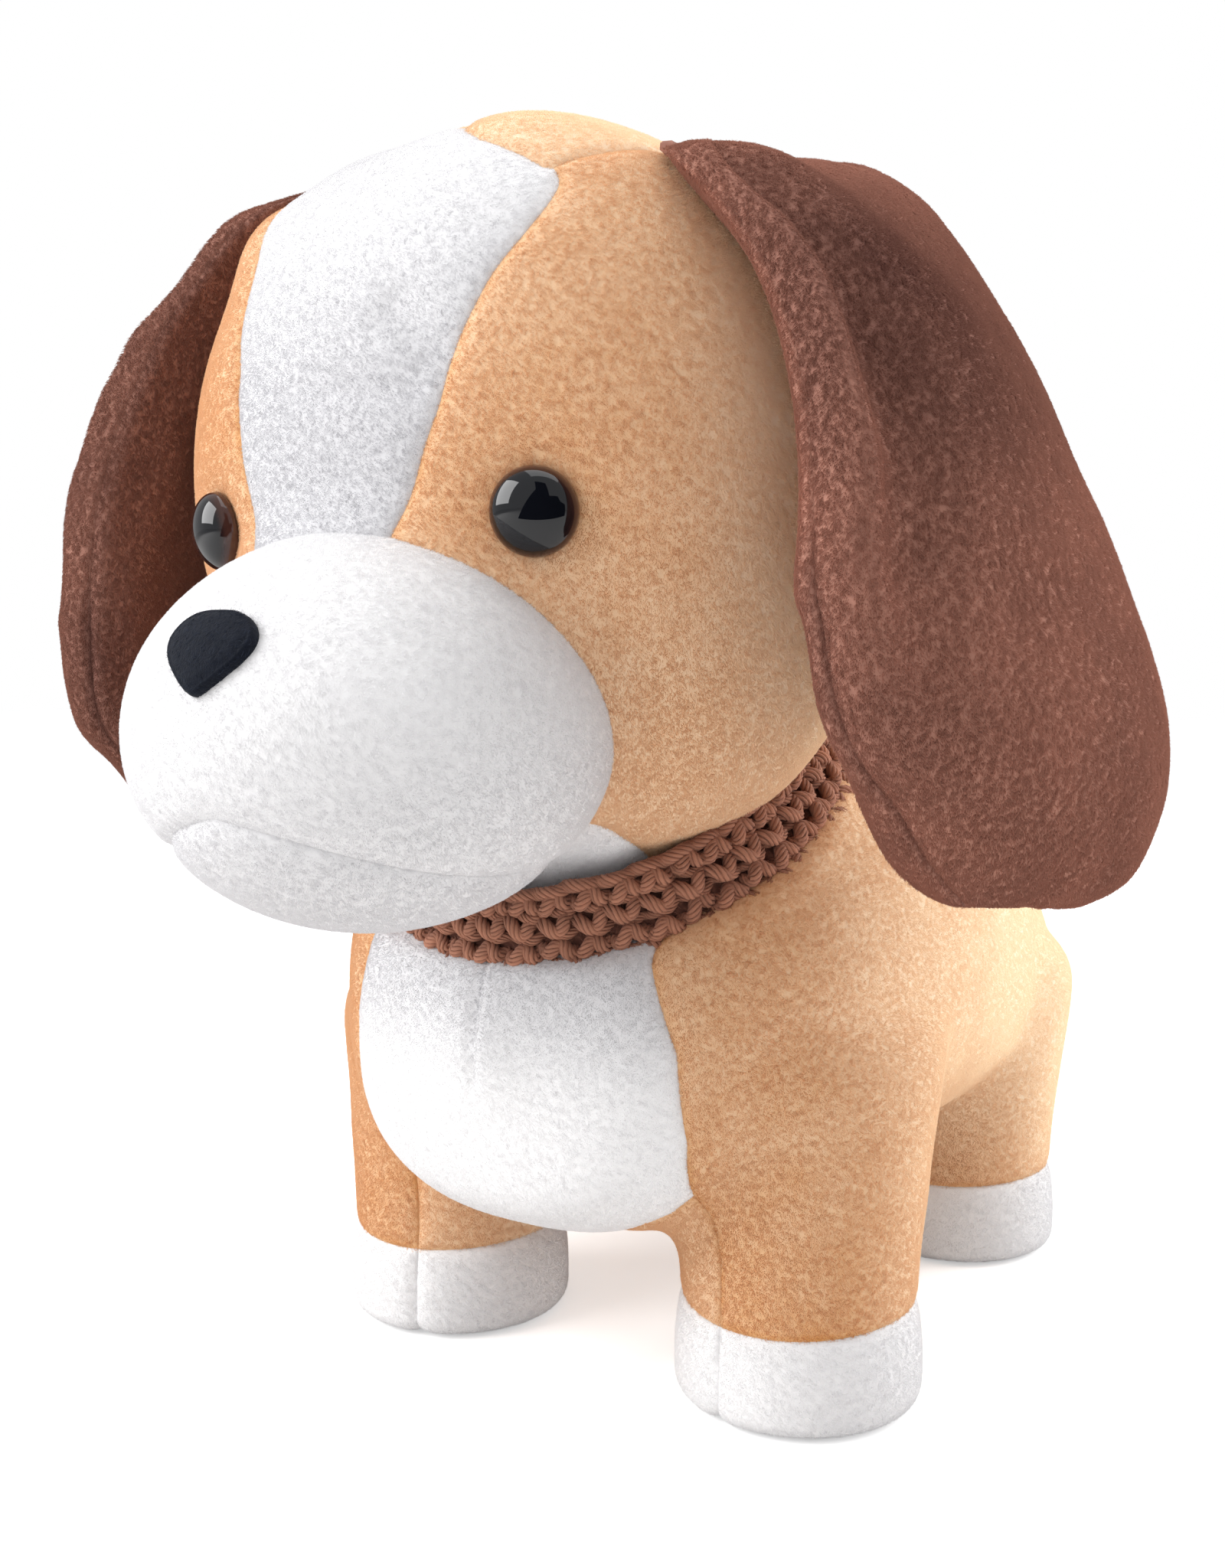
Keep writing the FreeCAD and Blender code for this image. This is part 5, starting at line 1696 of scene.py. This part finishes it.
def grow_nose_fibre(rng):
    """Fibres lying on the felt."""
    pick = nose_faces[rng.integers(0, len(nose_faces), 4500)]
    centre = nose_points[pick].mean(1)
    normal = face_cross(nose_points, pick)
    area = np.linalg.norm(normal, axis=1)
    keep = rng.random(len(pick)) < area / area.max()   # evenly over the surface
    centre, normal = centre[keep], normal[keep] / area[keep][:, None]
    first = tangent(normal, rng.normal(0, 1, normal.shape))
    second = tangent(normal, first + rng.normal(0, 0.7, normal.shape))
    length = (0.5 + 0.9 * rng.random(len(centre)))[:, None]
    material = fibre("felt_fibre", dark=(0.010, 0.013, 0.022), light=(0.06, 0.07, 0.10),
                     through=0.05)
    strands = np.stack([centre - first * length * 0.5, centre + normal * 0.10,
                        centre + second * length * 0.5 + normal * 0.06], 1)
    add_strands("nose_fibre", strands, np.array([0.02, 0.022, 0.012]),
                rng.random(len(centre)) ** 2, material, "head")


grow_all_pile()
fuzz_rng = np.random.default_rng(77)
grow_collar_fuzz(fuzz_rng)
grow_nose_fibre(fuzz_rng)

# ---------------------------------------------------------------- camera; metres from here on
CAMERA_PLACE = Vector(to_frame((171.6, -274.7, 144.9)))
CAMERA_TURN, CAMERA_DIP = math.radians(32.2), math.radians(4.4)
forward = Vector((-math.sin(CAMERA_TURN) * math.cos(CAMERA_DIP),
                  math.cos(CAMERA_TURN) * math.cos(CAMERA_DIP), -math.sin(CAMERA_DIP)))
right = Vector((math.cos(CAMERA_TURN), math.sin(CAMERA_TURN), 0))
up = right.cross(forward)


def build_camera():
    camera = bpy.data.cameras.new("camera")
    made = link_object("camera", camera)
    camera.sensor_fit = "AUTO"
    camera.sensor_width = 36.0
    camera.lens = 35.5359375
    camera.clip_start = 0.01
    turn = Matrix((right, up, -forward)).transposed().to_4x4()
    made.matrix_world = Matrix.Translation(CAMERA_PLACE) @ turn
    bpy.context.scene.camera = made


# ---------------------------------------------------------------- floor, world, lights
FLOOR_HALF = 4
FLOOR_GLOW = 0.42     # extra brightness that only the camera sees
SKY_STRENGTH = 0.62   # as light; the camera sees 1.0
CARD_BEHIND = 0.12    # distance of the dark card behind the camera
CARD_SCALE, CARD_SHIFT = 0.95, 0.02
# outline of the dark card: to the camera's right, up
CARD = [(-0.34, -0.16), (0.62, -0.16), (0.60, 0.10), (0.36, 0.12), (0.30, 0.20),
        (0.12, 0.16), (0.10, 0.42), (-0.08, 0.44), (-0.06, 0.24)]


def stage_sheet(name, corners, material):
    mesh = bpy.data.meshes.new(name)
    mesh.from_pydata(corners, [], [tuple(range(len(corners)))])
    mesh.materials.append(material)
    made = link_object(name, mesh)
    return made


def build_floor():
    """A white floor that lights the toy a little less than it shows."""
    look = Look("floor")
    seen = look.mix(look.noise(look.coords(), scale=3.0, detail=2.0), (0.93, 0.93, 0.93),
                    (0.96, 0.96, 0.96))
    to_camera = look.node("LightPath").outputs["Is Camera Ray"]
    look.set(Emission_Color=(1, 1, 1),
             Emission_Strength=look.math("MULTIPLY", to_camera, FLOOR_GLOW),
             Base_Color=look.mix(to_camera, (0.79, 0.78, 0.77), seen), Roughness=0.8)
    half = FLOOR_HALF
    stage_sheet("floor", [(-half, -half, 0), (half, -half, 0), (half, half, 0),
                          (-half, half, 0)], look.material)


def build_world():
    world = bpy.data.worlds.new("world")
    bpy.context.scene.world = world
    world.use_nodes = True
    sky = Nodes(world.node_tree)
    background = sky.tree.nodes["Background"]
    to_camera = sky.node("LightPath").outputs["Is Camera Ray"]
    sky.feed(background.inputs[0], (1, 1, 1))
    sky.feed(background.inputs[1],
             sky.scaled(to_camera, gain=1.0 - SKY_STRENGTH, plus=SKY_STRENGTH))
    bpy.context.scene.view_settings.view_transform = "Standard"


def build_dark_card():
    """The dark studio behind the camera, seen only in glossy reflections."""
    look = Look("dark_card")
    look.tree.nodes.remove(look.shader)
    glow = look.node("Emission")
    look.feed(glow.inputs[0], (0.010, 0.012, 0.022))
    look.feed(look.surface, glow.outputs[0])
    centre = CAMERA_PLACE - forward * CARD_BEHIND
    corners = [tuple(centre + right * (x * CARD_SCALE + CARD_SHIFT) + up * y * CARD_SCALE)
               for x, y in CARD]
    card = stage_sheet("dark_card", corners, look.material)
    card.visible_camera = False
    card.visible_diffuse = False
    card.visible_shadow = False
    card.visible_transmission = False


def area_light(name, place, target, size, power):
    light = bpy.data.lights.new(name, "AREA")
    light.shape = "RECTANGLE"
    light.size, light.size_y = size
    light.energy = power
    made = link_object(name, light)
    made.location = place
    aim = Vector(target) - Vector(place)
    made.rotation_euler = aim.to_track_quat("-Z", "Y").to_euler()


build_camera()
build_floor()
build_world()
build_dark_card()
area_light("key", place=(-0.72, -0.85, 0.72), target=(0, 0, 0.11), size=(0.9, 0.9), power=14.6)
area_light("top", place=(0.1, 0.1, 1.2), target=(0, 0, 0.1), size=(1.0, 1.0), power=5)
area_light("rim", place=(0.85, 0.65, 0.55), target=(0, 0, 0.12), size=(0.7, 0.9), power=9)
